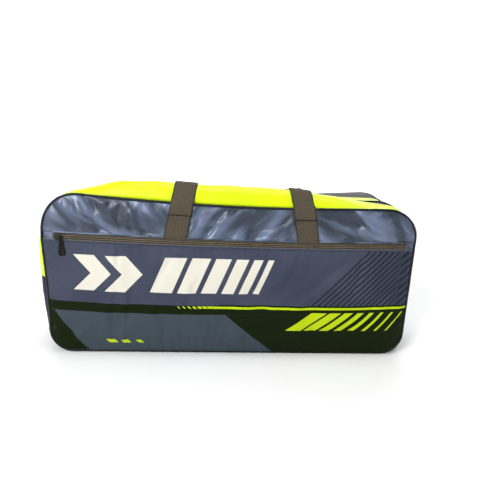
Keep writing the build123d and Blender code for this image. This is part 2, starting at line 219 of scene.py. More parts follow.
def grid_faces(rows, columns, wrap=False, flip=False):
    """Quads of a grid of points; with wrap, its last column joins its first."""
    i, j = np.meshgrid(np.arange(rows - 1), np.arange(columns if wrap else columns - 1),
                       indexing="ij")
    k = (j + 1) % columns
    a, b = i * columns + j, i * columns + k
    c, d = (i + 1) * columns + k, (i + 1) * columns + j
    return np.stack([a, d, c, b] if flip else [a, b, c, d], -1).reshape(-1, 4)


def sheet_object(name, points, uv, body, material, thick=1.2 * MM, flip=False, lining=None):
    """Cloth from a grid of points, given its thickness on the inner side."""
    rows, columns = points.shape[:2]
    materials = [material] if lining is None else [material, lining]
    obj = add_object(name, points.reshape(-1, 3), grid_faces(rows, columns, flip=flip),
                     uv.reshape(-1, 2), body, materials)
    solid = obj.modifiers.new("thickness", "SOLIDIFY")
    solid.thickness = thick
    solid.offset = -1
    if lining is not None:
        solid.material_offset = 1
        solid.material_offset_rim = 0
    return obj


def declare_cut(uv):
    """Computes the diagonals of a cloth's flat cut from its flat coordinates, and keeps nothing."""
    across = np.stack([uv[1:, 1:] - uv[:-1, :-1], uv[1:, :-1] - uv[:-1, 1:]])


def stand_for(piece, slot_name, *nodes):
    """Hides the CAD nodes that a piece stands for, and returns the piece."""
    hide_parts(*nodes)
    return piece


def sweep(name, centres, normals, half_width, half_thick, body, material, closed=False,
          sides=10, power=2.0, level_ends=0.0):
    """Sweeps a rounded bar along centres; normals point out of its broad face."""
    centres = np.asarray(centres, float)
    count = len(centres)
    if closed:
        tangents = np.roll(centres, -1, 0) - np.roll(centres, 1, 0)
    else:
        tangents = np.gradient(centres, axis=0)
    tangents = unit(tangents)
    normals = np.broadcast_to(np.asarray(normals, float), centres.shape)
    normals = unit(normals - (normals * tangents).sum(1)[:, None] * tangents)
    across = np.cross(tangents, normals)
    if level_ends:
        for near in (np.arange(count), np.arange(count)[::-1]):
            gone = run_along(centres[near])
            share = smooth(1 - gone / level_ends)[:, None]
            level = np.sign(across[near, :1]) * np.array([[1.0, 0.0, 0.0]])
            across[near] = across[near] * (1 - share) + level * share
    angles = 2 * math.pi * (np.arange(sides) + 0.5) / sides
    shape_u = np.sign(np.cos(angles)) * np.abs(np.cos(angles)) ** (2 / power)
    shape_v = np.sign(np.sin(angles)) * np.abs(np.sin(angles)) ** (2 / power)
    width = np.broadcast_to(half_width, count)[:, None, None]
    thick = np.broadcast_to(half_thick, count)[:, None, None]
    ring = (centres[:, None] + across[:, None] * shape_u[None, :, None] * width
            + normals[:, None] * shape_v[None, :, None] * thick)
    length = run_along(centres)
    uv = flat_pair(shape_u[None] * width[..., 0], length[:, None], ring.shape[:2])
    if closed:
        faces = grid_faces(count + 1, sides, wrap=True)
        faces = faces % (count * sides)
        verts, uvs = ring.reshape(-1, 3), uv.reshape(-1, 2)
        return add_object(name, verts, faces, uvs, body, material)
    verts = np.concatenate([ring.reshape(-1, 3), centres[:1], centres[-1:]])
    uvs = np.concatenate([uv.reshape(-1, 2), uv[0, :1], uv[-1, :1]])
    faces = grid_faces(count, sides, wrap=True).tolist()
    first, last = count * sides, count * sides + 1
    for k in range(sides):
        faces.append([first, (k + 1) % sides, k])
        faces.append([last, (count - 1) * sides + k, (count - 1) * sides + (k + 1) % sides])
    return add_object(name, verts, faces, uvs, body, material)


def join(name, parts):
    """One object from several that ride on the same body."""
    bpy.ops.object.select_all(action="DESELECT")
    for part in parts:
        part.select_set(True)
    bpy.context.view_layer.objects.active = parts[0]
    bpy.ops.object.join()
    parts[0].name = name
    return parts[0]


def beads(name, centres, along, outward, half_length, half_width, half_height, body, material):
    """Many small rounded pieces at once, such as zip teeth or stitches."""
    centres = np.asarray(centres, float)
    along = unit(np.broadcast_to(np.asarray(along, float), centres.shape))
    outward = np.broadcast_to(np.asarray(outward, float), centres.shape)
    outward = unit(outward - (outward * along).sum(1)[:, None] * along)
    side = np.cross(along, outward)
    shape = []
    for t, scale in ((-1.0, 0.35), (-0.72, 0.9), (0.72, 0.9), (1.0, 0.35)):
        for k in range(6):
            angle = math.pi * (k + 0.5) / 3
            shape.append((t, scale * math.cos(angle), scale * math.sin(angle)))
    shape = np.array(shape)
    verts = (centres[:, None] + along[:, None] * shape[None, :, :1] * half_length
             + side[:, None] * shape[None, :, 1:2] * half_width
             + outward[:, None] * shape[None, :, 2:] * half_height)
    ring = grid_faces(4, 6, wrap=True, flip=True).tolist()
    caps = [[0, 1, 2, 3, 4, 5], [23, 22, 21, 20, 19, 18]]
    faces = []
    for k in range(len(centres)):
        base = 24 * k
        faces += [[v + base for v in face] for face in ring + caps]
    return add_object(name, verts.reshape(-1, 3), faces, None, body, material)


def along_line(points, spacing):
    """Evenly spaced places and directions along a polyline."""
    points = np.asarray(points, float)
    length = run_along(points)
    marks = np.arange(spacing / 2, length[-1], spacing)
    places = np.stack([np.interp(marks, length, points[:, k]) for k in range(3)], 1)
    ahead = np.stack([np.interp(marks + spacing / 3, length, points[:, k]) for k in range(3)], 1)
    behind = np.stack([np.interp(marks - spacing / 3, length, points[:, k]) for k in range(3)], 1)
    return places, ahead - behind


THREAD = 0.84 * MM
STITCH_SHARE = 0.36                         # half a stitch, as a share of the spacing


def stitch_line(name, points, outward, body, material, spacing=3.4 * MM):
    """A row of thread stitches lying on a surface."""
    places, direction = along_line(points, spacing)
    return beads(name, places, direction, outward, spacing * STITCH_SHARE, THREAD / 2,
                 0.34 * MM, body, material)


# ------------------------------------------------------------------ outlines
def outline(low_limit=None, step=4 * MM):
    """Points, outward normals and distance round the panels' outline.

    A closed loop from the bottom middle, first to the left; with a low limit, only what
    lies above it, from the left foot over the top to the right foot.
    """
    rt, rl = TOP_CORNER, LOW_CORNER
    pieces = []

    def line(a, b, normal):
        n = max(2, int(math.dist(a, b) / (0.5 * MM)))
        t = np.linspace(0, 1, n, endpoint=False)[:, None]
        pieces.append((np.array(a) + t * (np.array(b) - np.array(a)),
                       np.broadcast_to(np.array(normal, float), (n, 2))))

    def arc(centre, radius, start, end):
        n = int(abs(end - start) * radius / (0.5 * MM))
        t = np.linspace(start, end, n, endpoint=False)
        normal = np.stack([np.cos(t), np.sin(t)], 1)
        pieces.append((np.array(centre) + radius * normal, normal))

    quarter = math.pi / 2
    line((0, LOW), (-HALF + rl, LOW), (0, -1))
    arc((-HALF + rl, LOW + rl), rl, -quarter, -2 * quarter)
    line((-HALF, LOW + rl), (-HALF, TOP - rt), (-1, 0))
    arc((-HALF + rt, TOP - rt), rt, 2 * quarter, quarter)
    line((-HALF + rt, TOP), (HALF - rt, TOP), (0, 1))
    arc((HALF - rt, TOP - rt), rt, quarter, 0)
    line((HALF, TOP - rt), (HALF, LOW + rl), (1, 0))
    arc((HALF - rl, LOW + rl), rl, 0, -quarter)
    line((HALF - rl, LOW), (0, LOW), (0, -1))
    points = np.concatenate([p for p, _ in pieces])
    normals = np.concatenate([n for _, n in pieces])
    if low_limit is not None:
        keep = points[:, 1] >= low_limit
        points, normals = points[keep], normals[keep]
    length = run_along(points)
    count = int(round(length[-1] / step)) + 1
    marks = np.linspace(0, length[-1], count)
    places, outward = (np.stack([np.interp(marks, length, a[:, k]) for k in range(2)], 1)
                       for a in (points, normals))
    return places, unit(outward), marks


SEAM_GROW = 0.5 * MM                        # the strips start this far outside the seam line
SIDE_PUFF = 3.5 * MM                        # how far the rear lime strip stands out at the sides
# how far the front lime strip is puffed along the bag, in millimetres, and its rounded section
crest_height = profile([-0.372, -0.31, -0.27, -0.235, -0.126, 0.03, 0.112, 0.18, 0.235, 0.31,
                        0.372], [0, 13, 26, 37, 40.5, 37.5, 33, 20, 10.5, -3, -5], 0.012)
crest_section = profile([0.0, 0.10, 0.20, 0.40, 0.60, 0.80, 0.92, 1.0],
                        [0.0, 0.38, 0.68, 0.99, 1.02, 0.70, 0.28, 0.0], 0.03)


def side_share(x, z):
    """Sides puff below the rounded top corners, more at the left than at the right."""
    below = smooth((0.275 - z) / 0.045) * (0.5 + 0.5 * smooth((z - 0.03) / 0.10))
    return below * np.where(x < 0, 15.0, 7.5)


def front_grow(x, z, t):
    """Side and top growth of the front gusset at share t from the seam to the zip."""
    top = SEAM_GROW + (BAND_GROW - SEAM_GROW) * t + crest_height(x) * MM * crest_section(t)
    side = SEAM_GROW + (BAND_SIDE - SEAM_GROW) * t + MM * side_share(x, z) * crest_section(t)
    return side, top


def middle_grow(x, z, t):
    """Growth of the rear lime strip, which puffs less and lies flat at the right."""
    puff = np.sin(math.pi * t)
    top = BAND_GROW + 3.0 * MM * puff * (1 - smooth((x - 0.05) / 0.15))
    return BAND_SIDE + SIDE_PUFF * puff + 0 * x, top


def strip_grow(x, z, t):
    """Growth of the rear strip, from the zip band down to the rear seam."""
    ease = t ** 1.5
    return (BAND_SIDE + (SEAM_GROW - BAND_SIDE) * ease,
            BAND_GROW + (SEAM_GROW - BAND_GROW) * ease)


def gusset(y_start, y_end, grow, low_limit, high_limit=None, side=0, step=3 * MM, rows=14,
           wrinkle=0.0, seed=1):
    """Grid of points for a band round the bag, and its flat coordinates."""
    xz, normal, length = outline(low_limit=low_limit, step=step)
    if high_limit is not None:
        keep = (xz[:, 1] <= high_limit) & (xz[:, 0] * side > 0)
        xz, normal, length = xz[keep], normal[keep], length[keep]
    t = np.linspace(0, 1, rows)[:, None]
    y = y_start + (y_end - y_start) * t
    grow_side, grow_top = grow(xz[None, :, 0], xz[None, :, 1], t)
    out = grow_side * normal[None, :, 0] ** 2 + grow_top * normal[None, :, 1] ** 2
    across = np.hypot(np.diff(out, axis=0), np.diff(y, axis=0) + 0 * out[1:])
    across = np.concatenate([np.zeros((1, len(xz))), np.cumsum(across, axis=0)])
    if wrinkle > 0:
        s = length[None]
        hold = np.sin(math.pi * np.clip(t, 0.0, 1.0)) ** 0.7
        soft = ripples(s, y, seed, 6, 0.05, 0.19, 1.2, 0.15)
        crease = ripples(s, y, seed + 1, 5, 0.022, 0.06, 1.5, -0.3, 1.6)
        crease *= patches(s, y, seed + 2, 0.16)
        out = out + wrinkle * hold * (0.9 * soft + 0.7 * crease)
    points = np.empty((rows, len(xz), 3))
    points[..., 0] = xz[None, :, 0] + normal[None, :, 0] * out
    points[..., 1] = y + 0 * xz[None, :, 0]
    points[..., 2] = xz[None, :, 1] + normal[None, :, 1] * out
    return settle(points), flat_pair(length[None], across, across.shape)


def band_line(y, step, lift):
    """A single line over the flat zip band at depth y, with its outward directions."""
    xz, normal, _ = outline(low_limit=GUSSET_LOW, step=step)
    out = BAND_SIDE * normal[:, 0] ** 2 + BAND_GROW * normal[:, 1] ** 2 + lift
    points = np.stack([xz[:, 0] + normal[:, 0] * out, np.full(len(xz), float(y)),
                       xz[:, 1] + normal[:, 1] * out], 1)
    outward = np.stack([normal[:, 0], np.zeros(len(xz)), normal[:, 1]], 1)
    return settle(points), outward


# ------------------------------------------------------------------ material nodes
class Field:
    """A number that varies over a surface, with ordinary arithmetic."""

    def __init__(self, paint, socket):
        self.paint, self.socket = paint, socket

    def _math(self, operation, *others, clamp=False):
        node = self.paint.tree.nodes.new("ShaderNodeMath")
        node.operation = operation
        node.use_clamp = clamp
        for slot, value in zip(node.inputs, (self, *others)):
            self.paint.feed(slot, value)
        return Field(self.paint, node.outputs[0])

    def __add__(self, other):
        return self._math("ADD", other)

    def __sub__(self, other):
        return self._math("SUBTRACT", other)

    def __mul__(self, other):
        return self._math("MULTIPLY", other)

    def __truediv__(self, other):
        return self._math("DIVIDE", other)

    def least(self, other):
        return self._math("MINIMUM", other)

    def most(self, other):
        return self._math("MAXIMUM", other)

    def fraction(self):
        return self._math("FRACT")

    def size(self):
        return self._math("ABSOLUTE")

    def sine(self):
        return self._math("SINE")

    def ramp(self, low, high, out_low=0.0, out_high=1.0):
        node = self.paint.tree.nodes.new("ShaderNodeMapRange")
        node.interpolation_type = "SMOOTHSTEP"
        self.paint.feed(node.inputs["Value"], self)
        for name, value in (("From Min", low), ("From Max", high),
                            ("To Min", out_low), ("To Max", out_high)):
            node.inputs[name].default_value = value
        return Field(self.paint, node.outputs["Result"])

    def above(self, edge, soft=0.35 * MM):
        return self.ramp(edge - soft, edge + soft)

    def within(self, low, high, soft=0.35 * MM):
        return self.above(low, soft) * self.ramp(high - soft, high + soft, 1.0, 0.0)

    def flipped(self):
        node = self.paint.tree.nodes.new("ShaderNodeMath")
        node.operation = "SUBTRACT"
        node.inputs[0].default_value = 1.0
        self.paint.feed(node.inputs[1], self)
        return Field(self.paint, node.outputs[0])


class Paint:
    """A material with its principled shader and helpers to build its pattern."""

    def __init__(self, name, roughness=0.5, **constants):
        self.material = bpy.data.materials.new(name)
        self.material.use_nodes = True
        self.tree = self.material.node_tree
        self.shader = self.tree.nodes["Principled BSDF"]
        self.shader.inputs["Roughness"].default_value = roughness
        for key, value in constants.items():
            self.shader.inputs[key.replace("_", " ")].default_value = value

    def feed(self, slot, value):
        if isinstance(value, Field):
            self.tree.links.new(value.socket, slot)
        elif isinstance(value, bpy.types.NodeSocket):
            self.tree.links.new(value, slot)
        else:
            slot.default_value = value

    def flat(self):
        """The cloth's own flat coordinates, in metres."""
        node = self.tree.nodes.new("ShaderNodeUVMap")
        node.uv_map = "flat"
        return node.outputs[0]

    def place(self):
        node = self.tree.nodes.new("ShaderNodeTexCoord")
        return node.outputs["Object"]

    def split(self, vector):
        node = self.tree.nodes.new("ShaderNodeSeparateXYZ")
        self.feed(node.inputs[0], vector)
        return [Field(self, out) for out in node.outputs]

    def stretched(self, vector, scale, turn=0.0):
        node = self.tree.nodes.new("ShaderNodeMapping")
        self.feed(node.inputs["Vector"], vector)
        node.inputs["Scale"].default_value = scale
        node.inputs["Rotation"].default_value = (0, 0, turn)
        return node.outputs[0]

    def turned(self, vector, turn):
        return self.stretched(vector, (1, 1, 1), turn)

    def noise(self, vector, scale, detail=2.0, roughness=0.5, distortion=0.0):
        node = self.tree.nodes.new("ShaderNodeTexNoise")
        self.feed(node.inputs["Vector"], vector)
        node.inputs["Scale"].default_value = scale
        node.inputs["Detail"].default_value = detail
        node.inputs["Roughness"].default_value = roughness
        node.inputs["Distortion"].default_value = distortion
        return Field(self, node.outputs[0])

    def mix(self, share, first, second):
        node = self.tree.nodes.new("ShaderNodeMix")
        node.data_type = "RGBA"
        self.feed(node.inputs["Factor"], share)
        for slot, value in ((node.inputs[6], first), (node.inputs[7], second)):
            self.feed(slot, value if isinstance(value, bpy.types.NodeSocket) else (*value[:3], 1.0))
        return node.outputs[2]

    def color(self, value):
        self.feed(self.shader.inputs["Base Color"],
                  value if isinstance(value, bpy.types.NodeSocket) else (*value[:3], 1.0))

    def bump(self, *layers):
        """Stacks bumps: (height field, strength, distance in metres)."""
        below = None
        for height, strength, distance in layers:
            node = self.tree.nodes.new("ShaderNodeBump")
            node.inputs["Strength"].default_value = strength
            node.inputs["Distance"].default_value = distance
            self.feed(node.inputs["Height"], height)
            if below is not None:
                self.tree.links.new(below, node.inputs["Normal"])
            below = node.outputs[0]
        self.tree.links.new(below, self.shader.inputs["Normal"])

    def roughness(self, value):
        self.feed(self.shader.inputs["Roughness"], value)

    def weave(self, vector, pitch):
        """Over-and-under threads of a plain weave, 0 to 1."""
        u, v, _ = self.split(vector)
        turn = 2 * math.pi / pitch
        warp, weft = (u * turn).sine(), (v * turn).sine()
        return (warp * weft) * 0.5 + 0.5

    def crossed(self, vector, pitch):
        """The open grid of fine ripstop-like threads, 0 to 1."""
        u, v, _ = self.split(vector)
        turn = math.pi / pitch
        return (u * turn).sine().size().least((v * turn).sine().size())


NAVY_PALE = (0.060, 0.085, 0.140)
LIME = (0.62, 0.77, 0.002)
PRINT_LIME = (0.44, 0.58, 0.008)
BLACK = (0.006, 0.0115, 0.002)
CREAM = (0.62, 0.60, 0.52)

# heights of the pocket's print
BLOCKS_LOW, BLOCKS_HIGH = 62.0 * MM, 103.5 * MM
BAND_LOW, BAND_HIGH = 97.0 * MM, 117.0 * MM
STRIPE_LOW, STRIPE_HIGH = 110.5 * MM, 115.5 * MM
HATCH_LOW = 118.0 * MM
MARK_LOW, MARK_HIGH = 143.0 * MM, 214.0 * MM


def satin_paint(name, dark, pale, relief):
    """Navy satin polyester with long crease bumps; streaks along them are painted shade in the
    valleys and painted highlight on the crests.
    """
    paint = Paint(name, 0.40, Metallic=0.30, Specular_IOR_Level=0.75)
    flat = paint.flat()
    x, _, _ = paint.split(flat)
    worn = paint.noise(flat, 55, 4, 0.65)
    streak_stretch = (1.0, 0.36, 1.0)
    outer, inner = (paint.noise(paint.stretched(paint.turned(flat, turn), streak_stretch),
                                27, 2, 0.45, 0.5) for turn in (-0.9, 0.8))
    between = x.ramp(-0.15, -0.11) * x.ramp(0.12, 0.16, 1.0, 0.0)
    painted_light_streak = outer + (inner - outer) * between
    # painted shade and painted highlight: dark to pale across each crease streak
    color = paint.mix(painted_light_streak.ramp(0.36, 0.66), dark, pale)
    color = paint.mix(worn.ramp(0.62, 0.85) * 0.25, color, NAVY_PALE)
    paint.color(color)
    paint.roughness(worn.ramp(0.2, 0.8, 0.38, 0.50))
    crease = paint.noise(paint.stretched(flat, (1.0, 0.55, 1.0), 0.5), 46, 3, 0.55, 0.8)
    fine = paint.noise(paint.stretched(flat, (1.0, 2.2, 1.0), -0.4), 150, 2, 0.5, 0.4)
    paint.bump((painted_light_streak, 0.9, relief), (crease, 0.34, 1.6 * MM), (fine, 0.18, 0.5 * MM),
               (paint.weave(flat, 0.9 * MM), 0.14, 0.12 * MM))
    return paint.material


def pocket_paint():
    """Printed pocket cloth: fine navy weave with bars, stripes and slanted blocks."""
    paint = Paint("pocket_print", 0.5, Specular_IOR_Level=0.05)
    flat = paint.flat()
    x, z, _ = paint.split(flat)
    threads = paint.noise(paint.stretched(flat, (1.0, 7.0, 1.0)), 260, 2, 0.6)
    cross = paint.noise(paint.stretched(flat, (7.0, 1.0, 1.0)), 260, 2, 0.6)
    tone = paint.noise(flat, 9, 3)
    cloth = paint.mix(tone.ramp(0.3, 0.7), (0.036, 0.043, 0.069), (0.050, 0.058, 0.086))
    cloth = paint.mix((threads.ramp(0.45, 0.8) + cross.ramp(0.45, 0.8)) * 0.22, cloth,
                      (0.085, 0.094, 0.135))

    # thin dark slanted lines at the right, broader near the edge
    slanted = x - (z - HATCH_LOW) * 0.99
    lines = ((slanted - 0.1585) / 0.0127).fraction().within(0.0, 0.36, 0.05)
    lines = lines * slanted.above(0.155) * x.ramp(0.335, 0.350, 1.0, 0.0)
    broad_slant = x - (z - HATCH_LOW) * 1.25
    broad = (broad_slant / 0.021).fraction().within(0.0, 0.45, 0.05) * x.ramp(0.338, 0.350)
    lines = lines.most(broad) * z.within(0.119, 0.2355)
    cloth = paint.mix(lines * 0.9, cloth, (0.007, 0.010, 0.013))
    # painted shade: darker towards the right edge above the band
    shade = x.ramp(0.315, 0.345) * z.above(0.119) * 0.35
    cloth = paint.mix(shade, cloth, (0.020, 0.024, 0.040))

    # the lower part: satin navy between two slanted edges, black to the right
    down = z * -1.0 + BAND_LOW
    below = down.above(0.0)
    left_wedge = (x + 0.3605 - down * 0.74).above(0.0).flipped()
    right_black = (x + 0.016 - down * 1.12).above(0.0)
    satin = below * left_wedge.flipped() * right_black.flipped()
    cloth = paint.mix(satin * 0.8, cloth, (0.045, 0.062, 0.074))
    black = z.within(BAND_LOW, BAND_HIGH).most(below * left_wedge.most(right_black))
    black = black.most(x.above(-0.03) * z.within(0.1165, 0.1192))
    cloth = paint.mix(black, cloth, BLACK)

    # lime stripe that starts as growing dashes
    stripe = z.within(STRIPE_LOW, STRIPE_HIGH)
    dash = ((x + z * 0.9) / 0.0098).fraction()
    grown = x.ramp(-0.12, -0.036, 0.22, 0.95)
    dashes = (dash - grown).ramp(-0.04, 0.04, 1.0, 0.0) * x.above(-0.115)
    lime = stripe * dashes.most(x.above(-0.034))

    # slanted lime blocks that shrink to the right
    block_slant = x - (z - BLOCKS_HIGH) * x.ramp(0.16, 0.34, 1.25, 0.8)
    start = 0.162
    for k in range(8):
        width = 0.033 * 0.74 ** k
        block = block_slant.within(start, start + width) * z.within(BLOCKS_LOW, BLOCKS_HIGH)
        lime = lime.most(block)
        start += 0.0225 + 0.0165 * 0.6 ** k
    # three small dashes in the lower left part
    accent_slant = x + (z - 0.03) * 0.9
    for k in range(3):
        left = -0.255 + 0.030 * k
        lime = lime.most(accent_slant.within(left, left + 0.018 - 0.004 * k)
                         * z.within(0.026, 0.034))
    cloth = paint.mix(lime, cloth, PRINT_LIME)

    # plain cream mark: two chevrons and a row of narrowing slanted bars
    rise = (z - (MARK_LOW + MARK_HIGH) / 2).size()
    chevrons = x + rise * 0.95
    cream = chevrons.within(-0.283, -0.243).most(chevrons.within(-0.222, -0.182))
    bar_slant = x - (z - MARK_LOW) * 0.42
    left = -0.168
    for k in range(6):
        width = 0.043 - 0.0062 * k
        cream = cream.most(bar_slant.within(left, left + width))
        left += width + 0.0105
    cream = cream * z.within(MARK_LOW, MARK_HIGH)
    cloth = paint.mix(cream, cloth, CREAM)
    paint.color(cloth)

    printed = cream.most(lime).most(black)
    paint.roughness((printed * -0.12 + satin * -0.14) + 0.52)
    crease = paint.noise(paint.stretched(flat, (1.0, 0.8, 1.0), 0.4), 34, 3, 0.5, 0.7)
    paint.bump((crease, 0.35, 1.6 * MM), (paint.weave(flat, 1.0 * MM), 0.25, 0.14 * MM),
               (threads + cross, 0.20, 0.15 * MM))
    return paint.material


def lime_paint():
    """Coated lime cloth, slightly soiled."""
    paint = Paint("lime_coated", 0.38, Coat_Weight=0.10, Coat_Roughness=0.25,
                  Specular_IOR_Level=0.22)
    flat = paint.flat()
    tone = paint.noise(flat, 11, 3)
    dirt = paint.noise(flat, 45, 4, 0.6)
    color = paint.mix(tone.ramp(0.25, 0.75), LIME, (0.54, 0.72, 0.003))
    paint.color(paint.mix(dirt.ramp(0.66, 0.9) * 0.35, color, (0.45, 0.56, 0.01)))
    paint.roughness(dirt.ramp(0.3, 0.8, 0.32, 0.48))
    crease = paint.noise(paint.stretched(flat, (1.0, 0.6, 1.0), 0.3), 38, 3, 0.5, 0.6)
    grain = paint.noise(flat, 900, 2, 0.6)
    paint.bump((crease, 0.40, 1.4 * MM), (grain, 0.10, 0.1 * MM))
    return paint.material


def cord_paint():
    """Black woven cover of the piping."""
    paint = Paint("piping_black", 0.40, Specular_IOR_Level=0.25)
    place = paint.flat()
    tone = paint.noise(place, 90, 3)
    paint.color(paint.mix(tone.ramp(0.5, 0.85), (0.004, 0.005, 0.004), (0.016, 0.018, 0.015)))
    paint.bump((paint.weave(place, 0.8 * MM), 0.35, 0.12 * MM), (tone, 0.3, 0.4 * MM))
    return paint.material


def side_paint():
    """Navy cloth of the lower sides, its colour darkened as painted shade."""
    paint = Paint("side_navy_painted_shade", 0.62, Specular_IOR_Level=0.12)
    flat = paint.flat()
    tone = paint.noise(flat, 22, 4)
    paint.color(paint.mix(tone.ramp(0.3, 0.8), (0.008, 0.013, 0.028), (0.022, 0.032, 0.058)))
    paint.bump((tone, 0.5, 2.0 * MM), (paint.weave(flat, 1.0 * MM), 0.2, 0.14 * MM))
    return paint.material


def heavy_paint():
    """Coarse black base cloth."""
    paint = Paint("base_black", 0.62, Specular_IOR_Level=0.25)
    flat = paint.flat()
    tone = paint.noise(flat, 25, 4)
    paint.color(paint.mix(tone.ramp(0.3, 0.8), (0.012, 0.013, 0.016), (0.032, 0.034, 0.040)))
    paint.bump((paint.weave(flat, 1.5 * MM), 0.5, 0.25 * MM), (tone, 0.25, 0.8 * MM))
    return paint.material


def lining_paint():
    """Grey lining, quilted in slanted squares."""
    paint = Paint("lining_grey", 0.6, Sheen_Weight=0.15)
    flat = paint.flat()
    tone = paint.noise(flat, 16, 4)
    quilt = paint.crossed(paint.turned(flat, math.pi / 4), 46 * MM)
    paint.color(paint.mix(tone.ramp(0.3, 0.8), (0.060, 0.064, 0.078), (0.090, 0.094, 0.110)))
    paint.bump((quilt.ramp(0.0, 0.10), 0.6, 1.2 * MM),
               (paint.weave(flat, 1.2 * MM), 0.3, 0.15 * MM))
    return paint.material


def webbing_paint():
    """Dark olive webbing: ribs across it, broken by a staggered weave along it."""
    paint = Paint("webbing_olive", 0.7, Sheen_Weight=0.04, Sheen_Roughness=0.5,
                  Specular_IOR_Level=0.15)
    flat = paint.flat()
    u, v, _ = paint.split(flat)
    column = u / (4.6 * MM)
    stagger = column.fraction().above(0.5, 0.08) * 0.5
    rib = ((v / (4.0 * MM) + stagger) * (2 * math.pi)).sine() * 0.5 + 0.5
    gap = (column.fraction() - 0.5).size().ramp(0.40, 0.5, 1.0, 0.35)
    height = rib * gap
    speck = paint.noise(flat, 700, 2, 0.6)
    tone = paint.noise(flat, 30, 3)
    dark, pale = (0.009, 0.007, 0.005), (0.138, 0.112, 0.074)
    color = paint.mix((height * 0.75 + speck * 0.35).ramp(0.15, 0.95), dark, pale)
    color = paint.mix(tone.ramp(0.45, 0.8) * 0.35, color, (0.050, 0.044, 0.032))
    # painted shade: the webbing darkens towards its long edges
    strap_edge = u.size().ramp(19.0 * MM, 22.0 * MM)
    paint.color(paint.mix(strap_edge * 0.75, color, (0.012, 0.010, 0.007)))
    paint.bump((height, 0.8, 0.45 * MM), (speck, 0.35, 0.25 * MM))
    return paint.material


def tape_paint(name, dark, pale):
    """Finely ribbed tape."""
    paint = Paint(name, 0.58, Specular_IOR_Level=0.2)
    flat = paint.flat()
    u, _, _ = paint.split(flat)
    rib = ((u / (1.3 * MM)) * (2 * math.pi)).sine() * 0.5 + 0.5
    tone = paint.noise(flat, 120, 3)
    paint.color(paint.mix((tone * 0.7 + rib * 0.3).ramp(0.2, 0.8), dark, pale))
    paint.bump((rib, 0.45, 0.2 * MM), (tone, 0.25, 0.3 * MM))
    return paint.material


def folded_tape_paint():
    """Pocket zip tape: dark brown, with paler bands painted as highlights on the fold over the coil
    and further out.
    """
    paint = Paint("zip_tape_brown", 0.5, Specular_IOR_Level=0.25)
    flat = paint.flat()
    u, v, _ = paint.split(flat)
    rib = ((u / (1.4 * MM)) * (2 * math.pi)).sine() * 0.5 + 0.5
    tone = paint.noise(paint.stretched(flat, (0.25, 1.0, 1.0)), 160, 3)
    # painted highlight on the fold's crest, and a fainter painted highlight further out
    ridge_highlight = v.within(1.2 * MM, 2.7 * MM, 0.5 * MM) * tone.ramp(0.25, 0.6, 0.45, 1.0)
    edge = v.within(4.6 * MM, 6.0 * MM, 0.5 * MM) * 0.35
    color = paint.mix((tone * 0.6 + rib * 0.4).ramp(0.2, 0.8), (0.010, 0.008, 0.006),
                      (0.030, 0.025, 0.017))
    paint.color(paint.mix(ridge_highlight.most(edge), color, (0.155, 0.118, 0.070)))
    paint.bump((rib, 0.45, 0.2 * MM), (tone, 0.25, 0.3 * MM))
    return paint.material


def moulded_paint(name, color, pale, roughness=0.35, metallic=0.0, specular=0.35):
    """Moulded or enamelled surface with faint scratches; also thread."""
    paint = Paint(name, roughness, Metallic=metallic, Specular_IOR_Level=specular)
    place = paint.place()
    tone = paint.noise(place, 160, 4, 0.6)
    scratch = paint.noise(paint.stretched(place, (1.0, 6.0, 6.0)), 420, 3, 0.7)
    paint.color(paint.mix(tone.ramp(0.4, 0.8), color, pale))
    paint.roughness(scratch.ramp(0.3, 0.8, roughness - 0.1, roughness + 0.15))
    paint.bump((scratch, 0.15, 0.08 * MM), (tone, 0.1, 0.15 * MM))
    return paint.material


def board_paint():
    """Dark stiffener board."""
    paint = Paint("base_board", 0.55)
    place = paint.place()
    tone = paint.noise(place, 30, 4)
    grain = paint.noise(place, 800, 2)
    paint.color(paint.mix(tone.ramp(0.3, 0.8), (0.020, 0.021, 0.024), (0.040, 0.042, 0.048)))
    paint.bump((grain, 0.3, 0.2 * MM))
    return paint.material


# streak colours: painted shade first, painted highlight second; the back satin's pair lies closer
# together
SATIN = satin_paint("navy_satin", (0.019, 0.030, 0.050), (0.115, 0.150, 0.238), 10.0 * MM)
BACK_SATIN = satin_paint("navy_satin_back", (0.033, 0.048, 0.085), (0.052, 0.074, 0.125),
                         5.0 * MM)
POCKET = pocket_paint()
LIME_CLOTH = lime_paint()
CORD = cord_paint()
HEAVY = heavy_paint()
SIDE_CLOTH = side_paint()
LINED = lining_paint()
WEBBING = webbing_paint()
TAPE_MAIN = tape_paint("zip_tape_grey", (0.050, 0.051, 0.056), (0.110, 0.112, 0.122))
TAPE_POCKET = folded_tape_paint()
TEETH = moulded_paint("zip_teeth", (0.022, 0.020, 0.017), (0.075, 0.068, 0.052), 0.32)
TEETH_POCKET = moulded_paint("zip_coil", (0.070, 0.062, 0.046), (0.150, 0.132, 0.098), 0.34)
ENAMEL = moulded_paint("slider_enamel", (0.012, 0.012, 0.012), (0.035, 0.034, 0.032), 0.28, 0.4)
TAG = moulded_paint("puller_rubber", (0.003, 0.003, 0.0025), (0.024, 0.023, 0.019), 0.40,
                    specular=0.12)
THREAD_NAVY = moulded_paint("thread_navy", (0.030, 0.038, 0.070), (0.070, 0.080, 0.120), 0.6)
THREAD_OLIVE = moulded_paint("thread_olive", (0.060, 0.052, 0.036), (0.110, 0.096, 0.066), 0.6)
THREAD_MID = moulded_paint("thread_mid", (0.085, 0.092, 0.115), (0.14, 0.15, 0.18), 0.6)
THREAD_PALE = moulded_paint("thread_pale", (0.30, 0.32, 0.36), (0.42, 0.44, 0.48), 0.6)
WELT = tape_paint("pocket_edge", (0.060, 0.062, 0.072), (0.120, 0.118, 0.120))
